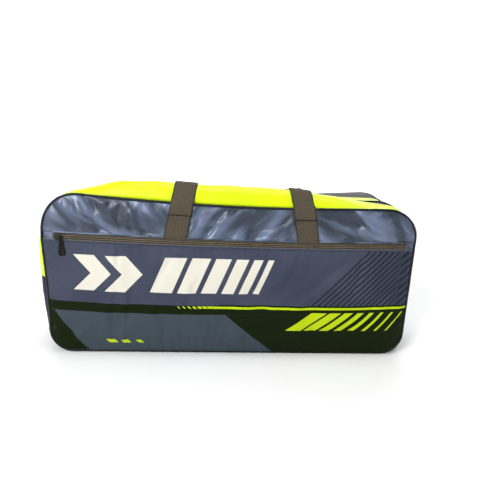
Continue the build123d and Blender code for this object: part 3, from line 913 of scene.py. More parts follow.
# the fold across a sewn strap end: its near-black colour is painted shadow
HEM_SHADE = tape_paint("webbing_fold_painted_shade", (0.006, 0.005, 0.004), (0.020, 0.017, 0.012))
BOARD = board_paint()


# ------------------------------------------------------------------ front and rear cloths
BULGE_PROFILE = profile([LOW, 0.045, 0.115, 0.165, ZIP_LOWER, ZIP_UPPER, 0.285, TOP],
                        [0.0, 0.62, 1.0, 0.93, 0.46, 0.42, 0.27, 0.0], 0.022)


def corner_distance(x, z):
    """Distance inwards from the panels' seam line."""
    radius = np.where(z > 0.16, TOP_CORNER, LOW_CORNER)
    middle = (TOP + LOW) / 2
    qx = np.abs(x) - (HALF - radius)
    qz = np.abs(z - middle) - ((TOP - LOW) / 2 - radius)
    outside = np.hypot(np.maximum(qx, 0), np.maximum(qz, 0))
    return radius - outside - np.minimum(np.maximum(qx, qz), 0)


def bulge(x, z):
    """How far the filled front stands out from its flat plane."""
    along = 1 - np.abs(x / HALF) ** 3.0
    return BULGE * BULGE_PROFILE(z) * along


def top_edge(x):
    """Height of the panels' upper seam line."""
    over = np.maximum(np.abs(x) - (HALF - TOP_CORNER), 0)
    return TOP - TOP_CORNER + np.sqrt(np.maximum(TOP_CORNER ** 2 - over ** 2, 0))


def low_edge(x):
    """Height of the panels' lower seam line."""
    over = np.maximum(np.abs(x) - (HALF - LOW_CORNER), 0)
    return LOW + LOW_CORNER - np.sqrt(np.maximum(LOW_CORNER ** 2 - over ** 2, 0))


def panel_grid(bottom, top, columns, rows):
    """Grid of flat (x, z) coordinates between two edges given as functions of x."""
    reach = HALF - 1.2 * MM
    x = reach * np.sin(np.linspace(-1, 1, columns) * 1.25) / math.sin(1.25)
    t = np.linspace(0, 1, rows)[:, None]
    low, high = bottom(x)[None], top(x)[None]
    z = low + (high - low) * t
    return np.broadcast_to(x[None], z.shape).copy(), z


def folds(x, z, seed, count, reach, size, leans):
    """Separate soft creases: each has its own place, direction, length and depth."""
    rng = np.random.default_rng(seed)
    total = np.zeros(x.shape)
    for _ in range(count):
        place_x = rng.uniform(-HALF, HALF)
        place_z = rng.uniform(*reach)
        turn = rng.choice(leans) if isinstance(leans, tuple) else leans(place_x)
        angle = turn + rng.uniform(-0.3, 0.3)
        half_length = rng.uniform(0.024, 0.066)
        half_width = rng.uniform(0.005, 0.012)
        height = size * rng.uniform(-1.0, 1.0)
        along = (x - place_x) * math.sin(angle) + (z - place_z) * math.cos(angle)
        side = (x - place_x) * math.cos(angle) - (z - place_z) * math.sin(angle)
        bend = side - 0.006 * rng.uniform(-1, 1) * (along / half_length) ** 2
        shape = np.where(bend > 0, np.exp(-(bend / half_width) ** 2),
                         np.exp(-(bend / (half_width * 2.2)) ** 2))
        total += height * shape * np.exp(-(along / half_length) ** 4)
    return total


def crinkle(points, held, swell, cap, stiffness, frames=16):
    """Cloth a little larger than its frame, held where held is true, let buckle.

    The cloth is simulated ten times its size, which keeps the solver steady.
    """
    grown = 10.0
    rows, columns = points.shape[:2]
    temp = add_object("temp_cloth", points.reshape(-1, 3) * grown, grid_faces(rows, columns))
    group = temp.vertex_groups.new(name="held")
    group.add(np.flatnonzero(held.ravel()).tolist(), 1.0, "REPLACE")
    cloth = temp.modifiers.new("cloth", "CLOTH")
    setting = cloth.settings
    setting.vertex_group_mass = "held"
    setting.quality = 6
    setting.mass = 0.3
    setting.tension_stiffness = 40
    setting.compression_stiffness = 40
    setting.shear_stiffness = 25
    setting.bending_stiffness = stiffness
    setting.air_damping = 4
    setting.shrink_min = -swell
    setting.effector_weights.gravity = 0
    setting.use_pressure = True
    setting.uniform_pressure_force = 1.0
    cloth.collision_settings.use_collision = False
    cloth.point_cache.frame_end = frames + 1
    scene = bpy.context.scene
    for number in range(1, frames + 1):
        scene.frame_set(number)
    depsgraph = bpy.context.evaluated_depsgraph_get()
    result = temp.evaluated_get(depsgraph).to_mesh()
    moved = np.empty(len(result.vertices) * 3)
    result.vertices.foreach_get("co", moved)
    temp.evaluated_get(depsgraph).to_mesh_clear()
    mesh = temp.data
    bpy.data.objects.remove(temp)
    bpy.data.meshes.remove(mesh)
    scene.frame_set(1)
    shift = moved.reshape(points.shape) / grown - points
    size = np.linalg.norm(shift, axis=-1, keepdims=True)
    return points + shift * cap * np.tanh(size / cap) / np.maximum(size, 1e-9)


FEET = {side: (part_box(f"front_handle_anchor_{side}")[0][0]
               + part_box(f"front_handle_anchor_{side}")[1][0]) / 2 for side in ("left", "right")}
WEBBING_WIDTH = 45 * MM
LEAN = 0.165


def leg_middle(side, z):
    """Middle of a handle leg at a height: the legs lean towards each other."""
    inward = 1 if side == "left" else -1
    return FEET[side] + inward * LEAN * (z - (ANCHOR_LOW + ANCHOR_TOP) / 2)


def under_strap(x, z, margin=0.0):
    """True where a sewn strap end presses the cloth flat."""
    under = np.zeros(x.shape, bool)
    for side in FEET:
        close = np.abs(x - leg_middle(side, z)) < WEBBING_WIDTH / 2 + margin
        under |= close & (z < ANCHOR_TOP + margin) & (z > ANCHOR_LOW - margin)
    return under


def clear_of_straps(x, z):
    """1 away from the sewn strap ends, 0 under them."""
    clear = np.ones(x.shape)
    for side in FEET:
        gap_x = np.abs(x - leg_middle(side, z)) - WEBBING_WIDTH / 2
        gap_z = np.maximum(z - ANCHOR_TOP, ANCHOR_LOW - z)
        gap = np.maximum(gap_x, gap_z - 14 * MM)
        clear *= smooth(gap / (10 * MM))
    return clear


def clear_of_pull(x, z):
    """1 away from the pocket pull's upper position, small under it."""
    gap = np.hypot((x + 0.340) / 0.024, (z - 0.268) / 0.034)
    return 0.15 + 0.85 * smooth(gap - 0.8)


def yoke_leans(x):
    """Folds of the yoke fall to the right outside the straps, to the left between them."""
    return np.interp(x, [-0.16, -0.11, 0.12, 0.17], [-0.85, 0.8, 0.9, -1.0])


SEAM_HOLD = 3.5 * MM                        # width of cloth that a seam keeps still
HEM_IN = 1.2 * MM                           # cloth edge inside the panel's outline


def buckled(x, z, slack, held, swell, cap, stiffness):
    """Cloth over the flat face, domed at its seams, with slack added and let buckle."""
    rise = 1.6 * MM * smooth(corner_distance(x, z) / (6 * MM)) - 1.0 * MM
    points = np.stack([x, -FACE - rise - slack, z], -1)
    points = crinkle(points, held, swell, cap, stiffness)
    points[..., 1] = np.minimum(points[..., 1], -FACE - rise + 0.3 * MM)
    return points


def yoke_cloth():
    """Satin cloth above the pocket zip, with strong folds between the straps."""
    x, z = panel_grid(lambda x: np.full(x.shape, ZIP_UPPER + 0.4 * MM),
                      lambda x: top_edge(x) - HEM_IN, 281, 33)
    d = corner_distance(x, z)
    free = (smooth(d / 0.011) * smooth((z - ZIP_UPPER) / 0.008) * clear_of_straps(x, z)
            * clear_of_pull(x, z))
    slow = ripples(x, z, 11, 7, 0.05, 0.16, 2.2, 0.6)
    creases = folds(x, z, 17, 70, (0.25, 0.325), 9.0 * MM, yoke_leans)
    slack = bulge(x, z) + free * (0.8 * MM * slow + creases)
    held = (d < SEAM_HOLD) | (z < ZIP_UPPER + 2.0 * MM) | under_strap(x, z)
    return buckled(x, z, slack, held, 0.012, 4 * MM, 0.6), np.stack([x, z], -1)


def pocket_cloth():
    """Printed cloth below the zip, stitched once more just under it."""
    x, z = panel_grid(lambda x: low_edge(x) + HEM_IN,
                      lambda x: np.full(x.shape, ZIP_LOWER + 1.5 * MM), 261, 81)
    d = corner_distance(x, z)
    free = smooth(d / 0.03) * smooth((ZIP_LOWER - z) / 0.02)
    slow = ripples(x, z, 21, 7, 0.08, 0.26, 2.4, 1.1)
    creases = folds(x, z, 23, 46, (0.02, 0.23), 4.2 * MM, (-0.5, 0.7, 0.1))
    slack = bulge(x, z) + free * (0.8 * MM * slow + creases)
    stitched = np.abs(z - (ZIP_LOWER - 5 * MM)) < 1.5 * MM
    held = (d < SEAM_HOLD) | (z > ZIP_LOWER - 1.0 * MM) | stitched
    return buckled(x, z, slack, held, 0.014, 5 * MM, 1.2), np.stack([x, z], -1)


def back_cloth():
    """Rear panel: shaped as if it faced forwards, then mirrored to the back."""
    x, z = panel_grid(lambda x: low_edge(x) + HEM_IN, lambda x: top_edge(x) - HEM_IN, 221, 101)
    d = corner_distance(x, z)
    free = smooth(d / 0.03) * clear_of_straps(x, z)
    slow = ripples(x, z, 31, 7, 0.07, 0.24, 2.4, 0.9)
    creases = folds(x, z, 33, 90, (0.02, 0.32), 4.0 * MM, (-0.7, 0.65, 0.2))
    held = (d < SEAM_HOLD) | under_strap(x, z)
    points = buckled(x, z, free * (0.9 * MM * slow + creases), held, 0.020, 5 * MM, 0.6)
    points[..., 1] *= -1
    return points, np.stack([x, z], -1)


def surface_reader(points):
    """Depth of a finished panel at any (x, z), for what is sewn onto it."""
    flat = points.reshape(-1, 3)

    def depth(x, z):
        x, z = np.atleast_1d(x), np.atleast_1d(z)
        out = np.empty(len(x))
        for k in range(len(x)):
            gap = (flat[:, 0] - x[k]) ** 2 + (flat[:, 2] - z[k]) ** 2
            near = np.argpartition(gap, 4)[:4]
            weight = 1 / (gap[near] + 1e-9)
            out[k] = (flat[near, 1] * weight).sum() / weight.sum()
        return out

    return depth


def panel_piece(name, make, body, material, thick, node, flip=False):
    """Builds a big panel; returns its points before they settle."""
    points, uv = make()
    panel = sheet_object(name, settle(points), uv, body, material, thick, flip=flip)
    stand_for(panel, "panel", node)
    declare_cut(uv)
    return points


yoke_points = panel_piece("yoke_cloth", yoke_cloth, "front_lid", SATIN, 1.0 * MM,
                          "front_yoke_panel")
panel_piece("pocket_cloth", pocket_cloth, "front_lid", POCKET, 1.2 * MM, "front_pocket_panel")
back_points = panel_piece("back_cloth", back_cloth, "rear_lid", BACK_SATIN, 1.0 * MM,
                          "rear_panel", flip=True)


def lid_lining(name, y, body, facing, *nodes):
    """Padded inner face of a lid."""
    x, z = panel_grid(lambda x: low_edge(x) + 4 * MM, lambda x: top_edge(x) - 4 * MM, 121, 61)
    soft = smooth(corner_distance(x, z) / 0.02)
    puff = facing * (0.6 * MM * soft * (1 + 0.5 * ripples(x, z, 41, 6, 0.06, 0.2, 6.0)) - 0.4 * MM)
    points = np.stack([x * (1 - 3 * MM / HALF), y + puff, z], -1)
    uv = np.stack([x, z], -1)
    lining = sheet_object(name, settle(points), uv, body, LINED, 1.4 * MM, flip=facing > 0)
    stand_for(lining, "lining", *nodes)
    declare_cut(uv)


lid_lining("front_lid_lining", -SEAM, "front_lid", 1, "front_panel_lining", "front_panel_foam")
lid_lining("rear_lid_lining", SEAM, "rear_lid", -1, "rear_panel_lining", "rear_panel_foam")


# ------------------------------------------------------------------ piping
def piping(name, y, body, node, closed=True):
    """Covered cord round a panel, or over the middle seam from foot to foot."""
    if closed:
        xz, normal, _ = outline(step=3.2 * MM)
        xz, normal = xz[:-1], normal[:-1]
        centres = settle(np.stack([xz[:, 0], np.full(len(xz), y), xz[:, 1]], 1))
        outward = np.stack([normal[:, 0], np.zeros(len(xz)), normal[:, 1]], 1)
    else:
        centres, outward = band_line(y, 3.2 * MM, 0.4 * MM)
    k = np.arange(len(centres))
    wobble = PIPING_RADIUS * (1 + 0.035 * np.sin(k * 0.9) + 0.03 * np.sin(k * 0.37 + 1.0))
    tube = sweep(name, centres, outward, wobble, wobble, body, CORD, closed=closed, sides=12)
    stand_for(tube, "piping", node)


PIPE_Y = SEAM + PIPE
PIPING_RADIUS = 2.7 * MM
MIDDLE = (PIPE_FRONT + PIPE_REAR) / 2
piping("front_piping_cord", -PIPE_Y, "front_lid", "front_piping")
piping("rear_piping_cord", PIPE_Y, "rear_lid", "rear_piping")
piping("middle_piping_cord", MIDDLE, "main_body", "divider_piping", closed=False)


# ------------------------------------------------------------------ gussets
FRONT_BAND = -SEAM, LIME_END, front_grow
MIDDLE_BAND = PIPE_REAR, REAR_BAND, middle_grow
REAR_BAND_STRIP = STRIP, SEAM, strip_grow


def gusset_piece(name, band, heights, side, material, body, node, slot_name, wrinkle, seed,
                 rows=16):
    """One sewn piece of a band round the bag, between two heights on one or both sides."""
    points, uv = gusset(*band, *heights, side, rows=rows, wrinkle=wrinkle, seed=seed)
    piece = sheet_object(name, points, uv, body, material, 1.2 * MM, lining=LINED)
    stand_for(piece, slot_name, node)
    declare_cut(uv)


gusset_piece("lime_front_strip", FRONT_BAND, (LIME_LOW, None), 0, LIME_CLOTH, "front_lid",
             "front_gusset_lime", "lime", 0.9 * MM, 51, 22)
gusset_piece("lime_rear_strip", MIDDLE_BAND, (LIME_LOW, None), 0, LIME_CLOTH, "main_body",
             "rear_gusset_lime", "lime", 0.8 * MM, 54, 22)
for side_name, sign in (("left", -1), ("right", 1)):
    gusset_piece(f"front_side_{side_name}", FRONT_BAND, (GUSSET_LOW, LIME_LOW), sign, SIDE_CLOTH,
                 "front_lid", f"front_gusset_side_{side_name}", "panel", 0.7 * MM, 57)
    gusset_piece(f"rear_side_{side_name}", MIDDLE_BAND, (GUSSET_LOW, LIME_LOW), sign, SIDE_CLOTH,
                 "main_body", f"rear_gusset_side_{side_name}", "panel", 0.7 * MM, 60)
gusset_piece("rear_strip_cloth", REAR_BAND_STRIP, (GUSSET_LOW, None), 0, BACK_SATIN, "rear_lid",
             "rear_gusset_strip", "base_cloth", 0.4 * MM, 63, 10)


# ------------------------------------------------------------------ underside and inside
def side_growth(x, y):
    """How far the lower side corners stand out at a depth."""
    t = np.clip((y + SEAM) / (LIME_END + SEAM), 0, 1)
    front = front_grow(x, GUSSET_LOW, t)[0]
    share = np.clip((y - PIPE_REAR) / (REAR_BAND - PIPE_REAR), 0, 1)
    middle = BAND_SIDE + SIDE_PUFF * np.sin(math.pi * share)
    rear = strip_grow(0, 0, np.clip((y - STRIP) / (SEAM - STRIP), 0, 1))[0]
    return np.where(y < LIME_END, front, np.where(y < REAR_BAND, middle, rear))


def bottom_cloth():
    """Underside with its two lower corners, as one sheet from side to side."""
    xz, normal, _ = outline(step=3 * MM)
    keep = xz[:, 1] <= GUSSET_LOW
    half = (keep & (xz[:, 0] <= 0)).sum()
    order = np.concatenate([np.arange(1, len(xz)), np.arange(half)])
    order = order[keep[order]]
    xz, normal = xz[order], normal[order]
    y = np.linspace(-SEAM, SEAM, 61)[:, None]
    flat_floor = smooth((SEAM - np.abs(y)) / (12 * MM))
    out = (side_growth(xz[None, :, 0], y) * normal[None, :, 0] ** 2
           + LOW * flat_floor * normal[None, :, 1] ** 2)
    points = np.empty((len(y), len(xz), 3))
    points[..., 0] = xz[None, :, 0] + normal[None, :, 0] * out
    points[..., 1] = y + 0 * xz[None, :, 0]
    points[..., 2] = np.maximum(xz[None, :, 1] + normal[None, :, 1] * out, 0)
    run = run_along(xz)
    uv = flat_pair(run[None], y, points.shape[:2])
    cloth = sheet_object("bottom_cloth", points, uv, "main_body", HEAVY, 1.4 * MM, lining=LINED)
    stand_for(cloth, "base_cloth", "bottom_panel")
    declare_cut(uv)


def divider_cloth():
    """Cloth wall between the two compartments, as tall and wide as the middle seam."""
    x, z = panel_grid(lambda x: low_edge(x) + 2 * MM, lambda x: top_edge(x) - 1 * MM, 121, 61)
    soft = smooth(corner_distance(x, z) / 0.03)
    y = MIDDLE + 1.6 * MM * soft * ripples(x, z, 71, 6, 0.08, 0.3, 6.0)
    wide, tall = 1 + BAND_SIDE / HALF, 1 + BAND_GROW / TOP
    points = np.stack([x * wide, y, LOW + (z - LOW) * tall], -1)
    uv = np.stack([x, z], -1)
    cloth = sheet_object("divider_cloth", settle(points), uv, "main_body", LINED, 1.6 * MM)
    stand_for(cloth, "lining", "divider_panel")
    declare_cut(uv)


bottom_cloth()
divider_cloth()


def repaint(node, material):
    """Gives a carried-over CAD node its finish."""
    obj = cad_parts[node]
    slots = obj.material_slots
    if not slots:
        obj.data.materials.append(material)
    for slot in slots:
        slot.material = material
    return obj


for board in ("base_board_front", "base_board_rear"):
    repaint(board, BOARD)


# ------------------------------------------------------------------ main zips
TOOTH_STEP = 1.3 * MM                       # from a tooth to the next one of the other half
# the tape's section: share of the way to the slit, and rise in millimetres
TAPE_RISE = ((0.0, 0.2), (0.25, 0.3), (0.5, 0.5), (0.68, 1.1), (0.80, 1.7), (0.90, 1.5),
             (0.97, 0.5))


def zip_tape(name, edge, slit, body, node):
    """Half of a main zip's tape, from the seam to the slit, folded over its teeth."""
    lines, away = [], []
    for share, rise in TAPE_RISE:
        y = edge + (slit - edge) * share
        lines.append(band_line(y, 3 * MM, rise * MM)[0])
        away.append(abs(slit - y))
    if slit < edge:
        lines, away = lines[::-1], away[::-1]
    points = np.stack(lines)
    run = run_along(points[0])
    uv = flat_pair(run[None], np.array(away)[:, None], points.shape[:2])
    stand_for(sheet_object(name, points, uv, body, TAPE_MAIN, 0.8 * MM), "zip_tape", node)


def zip_teeth(name, slit, side, body, node):
    """A row of teeth whose tips reach between those of the other half."""
    line, outward = band_line(slit + side * 0.9 * MM, TOOTH_STEP, 0.9 * MM)
    start = 0 if side < 0 else 1
    centres, normals = line[1 + start:-1:2], outward[1 + start:-1:2]
    along = (line[2 + start::2] - line[start:-2:2])[:len(centres)]
    centres, normals = centres[:len(along)], normals[:len(along)]
    teeth = beads(name, centres, along, normals, 0.62 * MM, 1.5 * MM, 0.85 * MM, body, TEETH)
    stand_for(teeth, "zip_teeth", node)


zip_tape("front_zip_lid_tape", LIME_END, FRONT_SLIT, "front_lid", "front_zip_tape_lid")
zip_tape("front_zip_body_tape", PIPE_FRONT, FRONT_SLIT, "main_body", "front_zip_tape_body")
zip_tape("rear_zip_body_tape", REAR_BAND, REAR_SLIT, "main_body", "rear_zip_tape_body")
zip_tape("rear_zip_lid_tape", STRIP, REAR_SLIT, "rear_lid", "rear_zip_tape_lid")
zip_teeth("front_zip_lid_teeth", FRONT_SLIT, -1, "front_lid", "front_zip_teeth_lid")
zip_teeth("front_zip_body_teeth", FRONT_SLIT, 1, "main_body", "front_zip_teeth_body")
zip_teeth("rear_zip_body_teeth", REAR_SLIT, -1, "main_body", "rear_zip_teeth_body")
zip_teeth("rear_zip_lid_teeth", REAR_SLIT, 1, "rear_lid", "rear_zip_teeth_lid")


# ------------------------------------------------------------------ pocket zip
def on_front(x, z, lift):
    """Settled points on the filled front, lifted outwards."""
    x, z = np.broadcast_arrays(np.asarray(x, float), np.asarray(z, float))
    return settle(np.stack([x, -FACE - bulge(x, z) - lift, z], -1))


# half of the pocket tape's section in millimetres: distance from the slit, and rise
POCKET_TAPE = np.array([(0.15, 0.1), (0.6, 1.2), (1.2, 1.9), (2.0, 2.2), (2.8, 2.0), (3.5, 1.3),
                        (4.2, 0.75), (5.2, 0.6), (6.6, 0.4), (8.4, 0.1)])


def pocket_tape(name, sign, node):
    """Half of the pocket zip's tape: smooth, folded over the coil behind it."""
    x = np.linspace(-ZIP_HALF, ZIP_HALF, 181)
    away, rise = POCKET_TAPE.T * MM
    if sign < 0:
        away, rise = away[::-1], rise[::-1]
    z = POCKET_ZIP + sign * away[:, None] + 0 * x[None]
    wave = 1 + 0.10 * ripples(x[None], z, 81, 5, 0.03, 0.12, 0.2)
    points = on_front(x[None], z, rise[:, None] * wave)
    uv = flat_pair(x[None], away[:, None], z.shape)
    tape = sheet_object(name, points, uv, "front_lid", TAPE_POCKET, 0.6 * MM)
    stand_for(tape, "zip_tape", node)


def pocket_teeth(name, sign, node):
    """Half of the pocket zip's fine coil."""
    x = np.arange(-ZIP_HALF + 2 * MM, ZIP_HALF - 2 * MM, 2.0 * MM) + sign * 0.5 * MM
    centres = on_front(x, POCKET_ZIP + sign * 0.5 * MM, 0.35 * MM)
    along = np.gradient(centres, axis=0)
    teeth = beads(name, centres, along, FRONTWARD, 0.45 * MM, 0.9 * MM, 0.5 * MM, "front_lid",
                  TEETH_POCKET)
    stand_for(teeth, "zip_teeth", node)


def end_tab(name, sign, node):
    """Small cloth patch that closes an end of the pocket zip."""
    x = sign * np.linspace(ZIP_HALF - 1.5 * MM, EDGE - 0.5 * MM, 14)
    z = np.linspace(ZIP_LOWER - 0.5 * MM, ZIP_UPPER + 0.5 * MM, 14)[:, None]
    if sign < 0:
        x = x[::-1]
    crown = 1.0 * MM * np.sin(math.pi * np.linspace(0, 1, 14)[:, None]) ** 0.4
    pucker = 0.5 * MM * ripples(x[None], z, 91, 5, 0.006, 0.02, 2.5)
    points = on_front(x[None], z, crown + pucker + 0.2 * MM)
    uv = flat_pair(x[None], z, points.shape[:2])
    stand_for(sheet_object(name, points, uv, "front_lid", SATIN, 0.8 * MM), "panel", node)
    z_line = np.linspace(ZIP_LOWER + 1 * MM, ZIP_UPPER - 1 * MM, 20)
    row = on_front(sign * (ZIP_HALF + 1.5 * MM), z_line, 1.7 * MM)
    stitch_line(f"{name}_stitches", row, FRONTWARD, "front_lid", THREAD_PALE, 3 * MM)


for half_name, sign in (("upper", 1), ("lower", -1)):
    pocket_tape(f"pocket_tape_{half_name}", sign, f"pocket_zip_tape_{half_name}")
    pocket_teeth(f"pocket_coil_{half_name}", sign, f"pocket_zip_teeth_{half_name}")
for side_name, sign in (("left", -1), ("right", 1)):
    end_tab(f"pocket_end_{side_name}", sign, f"pocket_zip_end_tab_{side_name}")


def pocket_welts():
    """Rolled cloth edges above and below the zip, with a row of stitches each."""
    x = np.linspace(-EDGE + 1 * MM, EDGE - 1 * MM, 240)
    for name, z, row, material in (("yoke_welt", ZIP_UPPER + 0.9 * MM, 3.4 * MM, SATIN),
                                   ("pocket_welt", ZIP_LOWER + 1.0 * MM, -3.6 * MM, WELT)):
        welt = sweep(name, on_front(x, z, 0.9 * MM), FRONTWARD, 1.3 * MM, 1.0 * MM,
                     "front_lid", material)
        line = on_front(x[4:-4], z + row, 1.1 * MM)
        thread = stitch_line(f"{name}_stitches", line, FRONTWARD, "front_lid", THREAD_NAVY)


pocket_welts()
for side_name, sign in (("left", -1), ("right", 1)):
    z = np.linspace(LOW + LOW_CORNER, ZIP_LOWER - 4 * MM, 90)
    row = on_front(sign * (EDGE - 5 * MM), z, 1.2 * MM)
    stitch_line(f"pocket_stitches_{side_name}", row, FRONTWARD, "front_lid", THREAD_MID)


# ------------------------------------------------------------------ handles
STRAP_LIFT = 1.5 * MM
CREST_LIFT = {"left": 2.8 * MM, "right": 4.2 * MM}      # how far the stiff legs stand off the lime
yoke_depth = surface_reader(yoke_points)
back_depth = surface_reader(back_points)


def strap_run(points, step=2.5 * MM):
    """Evenly spaced points along a smooth line through a few."""
    points = np.asarray(points, float)
    length = run_along(points)
    marks = np.arange(0, length[-1] + step / 2, step)
    run = np.stack([np.interp(marks, length, points[:, k]) for k in range(3)], 1)
    for _ in range(5):
        run[1:-1] = 0.25 * run[:-2] + 0.5 * run[1:-1] + 0.25 * run[2:]
    return run


def front_strap_depth(x, z):
    """Depth of a sewn front strap's middle plane."""
    return np.minimum(yoke_depth(x, z), -FACE - bulge(x, z)) - STRAP_LIFT


def front_leg(side):
    """Line of a front handle leg: up the yoke, over the piping and the lime crest."""
    z = np.linspace(ZIP_UPPER - 5.0 * MM, TOP - 8 * MM, 28)
    x = leg_middle(side, z)
    tucked = 3.0 * MM * (1 - smooth((z - ZIP_UPPER + 3.5 * MM) / (2 * MM)))
    y = front_strap_depth(x, z) + tucked
    rows = [np.stack([x, y, z], 1)]
    over = np.array([[-PIPE_Y - 4.6 * MM, TOP - 1 * MM], [-PIPE_Y - 2.2 * MM, TOP + 4.6 * MM]])
    rows.append(np.stack([leg_middle(side, over[:, 1]), over[:, 0], over[:, 1]], 1))
    t = np.linspace(0.12, 0.80, 16)
    middle = leg_middle(side, TOP + 25 * MM)
    crest = TOP + front_grow(np.full(16, middle), TOP, t)[1] + CREST_LIFT[side] * smooth(t / 0.5)
    rows.append(np.stack([leg_middle(side, crest), -SEAM + (LIME_END + SEAM) * t, crest], 1))
    return np.concatenate(rows)


BAR_Y = -31 * MM                            # the front grip rests behind the lime crest
BAR_Z = 344 * MM
BAR_HALF = (11.5 * MM, 4.3 * MM)            # half width and half thickness of a rolled grip
STRAP_HALF = 1.15 * MM                      # half thickness of the flat webbing


def strap_shape(points, bar_start, soft=22 * MM):
    """Half width and half thickness along a handle: flat legs, rolled grip."""
    length = run_along(points)
    rolled = smooth((length - bar_start) / soft) * smooth((length[-1] - bar_start - length) / soft)
    return (WEBBING_WIDTH / 2 + (BAR_HALF[0] - WEBBING_WIDTH / 2) * rolled,
            STRAP_HALF + (BAR_HALF[1] - STRAP_HALF) * rolled, rolled)


def front_handle():
    """The whole front handle, from one sewn end over the top and back to the other."""
    left, right = front_leg("left"), front_leg("right")
    from_left, from_right = left[-1, 0], right[-1, 0]
    bar = [(x, BAR_Y, BAR_Z)
           for x in np.linspace(from_left + 26 * MM, from_right - 86 * MM, 21)]
    bend_left = [(from_left + 3 * MM, -46 * MM, 350 * MM),
                 (from_left + 12 * MM, -36 * MM, 346 * MM)]
    bend_right = [(from_right - 62 * MM, -34 * MM, 348 * MM),
                  (from_right - 34 * MM, -38 * MM, 359 * MM),
                  (from_right - 14 * MM, -43 * MM, 363 * MM)]
    centres = strap_run(np.concatenate([left, bend_left, bar, bend_right, right[::-1]]))
    half_width, half_thick, rolled = strap_shape(centres, run_along(left)[-1] - 4 * MM)
    tangent = unit(np.gradient(centres, axis=0))
    count = len(centres)
    sign = np.where(np.arange(count) < count / 2, 1.0, -1.0)[:, None]
    fall = np.where(centres[:, 1] > -PIPE_Y, np.where(centres[:, 0] > 0, -0.10, -0.03), 0)
    across = np.stack([np.ones(count), np.zeros(count), fall], 1) * sign
    normals = np.cross(across, tangent)
    up = np.broadcast_to(np.array([0.0, 0.15, 1.0]), centres.shape)
    blend = smooth((rolled - 0.05) / 0.5)[:, None]
    normals = normals * (1 - blend) + up * blend
    handle = sweep("front_handle_webbing", settle(centres), normals, half_width, half_thick,
                   None, WEBBING, sides=16, power=3.2, level_ends=18 * MM)
    return stand_for(handle, "webbing", "front_handle_strap", "front_handle_anchor_left",
                     "front_handle_anchor_right")


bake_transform(front_handle())


def strap_stitches(name, side, rows, facing, depth, body, lift):
    """Thread rows on a sewn strap end, each from one (across, height) to another."""
    parts = []
    for index, ((a0, z0), (a1, z1)) in enumerate(rows):
        t = np.linspace(0, 1, 14)
        z = z0 + (z1 - z0) * t
        x = leg_middle(side, z) + (a0 + (a1 - a0) * t) * WEBBING_WIDTH / 2
        y = depth(x, z) + facing * lift
        line = settle(np.stack([x, y, z], 1))
        parts.append(stitch_line(f"{name}_{index}", line, (0, facing, 0), body, THREAD_OLIVE,
                                 3.0 * MM))
    return join(name, parts)


for side in FEET:
    rows = [((-0.88, ANCHOR_TOP - 3 * MM), (0.88, ANCHOR_TOP - 3 * MM)),
            ((-0.88, ZIP_UPPER + 1 * MM), (-0.88, ANCHOR_TOP - 3 * MM)),
            ((0.88, ZIP_UPPER + 1 * MM), (0.88, ANCHOR_TOP - 3 * MM))]
    strap_stitches(f"front_strap_stitches_{side}", side, rows, -1, front_strap_depth,
                   "front_lid", STRAP_HALF)
    reach = WEBBING_WIDTH / 2 + 0.3 * MM
    hem_x = leg_middle(side, ANCHOR_TOP) + np.linspace(-1, 1, 24) * reach
    hem_z = np.full(24, ANCHOR_TOP - 0.5 * MM)
    strap_edge = np.stack([hem_x, front_strap_depth(hem_x, hem_z) - 1.2 * MM, hem_z], 1)
    # real fold ridge, coloured near black as painted shadow
    fold = sweep(f"front_strap_fold_{side}", settle(strap_edge), FRONTWARD, 1.3 * MM, 0.9 * MM,
                 "front_lid", HEM_SHADE)


def rear_handle():
    """Sewn ends on the back and the loop that hangs from them."""
    for side in FEET:
        z = np.linspace(ANCHOR_LOW, ANCHOR_TOP, 22)
        x = leg_middle(side, z)
        y = back_depth(x, z) + STRAP_LIFT - 0.2 * MM
        end = sweep(f"rear_strap_end_{side}", settle(np.stack([x, y, z], 1)), BACKWARD,
                    WEBBING_WIDTH / 2, STRAP_HALF, "rear_lid", WEBBING, sides=16, power=3.2)
        stand_for(end, "webbing", f"rear_handle_anchor_{side}")
    hang_low, hang_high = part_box("rear_handle_strap")[0][2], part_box("rear_handle_strap")[1][2]
    pivot_y = FACE + 3.1 * MM
    legs = {}
    for side in FEET:
        inward = 1 if side == "left" else -1
        z = np.linspace(hang_high, hang_low + 30 * MM, 26)
        x = leg_middle(side, ANCHOR_TOP) + inward * LEAN * (ANCHOR_TOP - z)
        y = np.maximum(back_depth(x, z) + 4.2 * MM, pivot_y + 0.6 * MM)
        y[0] = pivot_y
        legs[side] = np.stack([x, y, z], 1)
    left, right = legs["left"], legs["right"]
    bar_z = hang_low + 12 * MM
    bar_y = pivot_y + 5.0 * MM
    ends = left[-1, 0] + 24 * MM, right[-1, 0] - 24 * MM
    bar = [(x, bar_y, bar_z) for x in np.linspace(ends[0], ends[1], 21)]
    bend_left = [(left[-1, 0] + 8 * MM, bar_y - 1 * MM, bar_z + 7 * MM)]
    bend_right = [(right[-1, 0] - 8 * MM, bar_y - 1 * MM, bar_z + 7 * MM)]
    centres = strap_run(np.concatenate([left, bend_left, bar, bend_right, right[::-1]]))
    half_width, half_thick, _ = strap_shape(centres, run_along(left)[-1] - 16 * MM)
    loop = sweep("rear_handle_webbing", settle(centres), BACKWARD, half_width, half_thick,
                 "rear_handle", WEBBING, sides=16, power=3.2)
    stand_for(loop, "webbing", "rear_handle_strap")


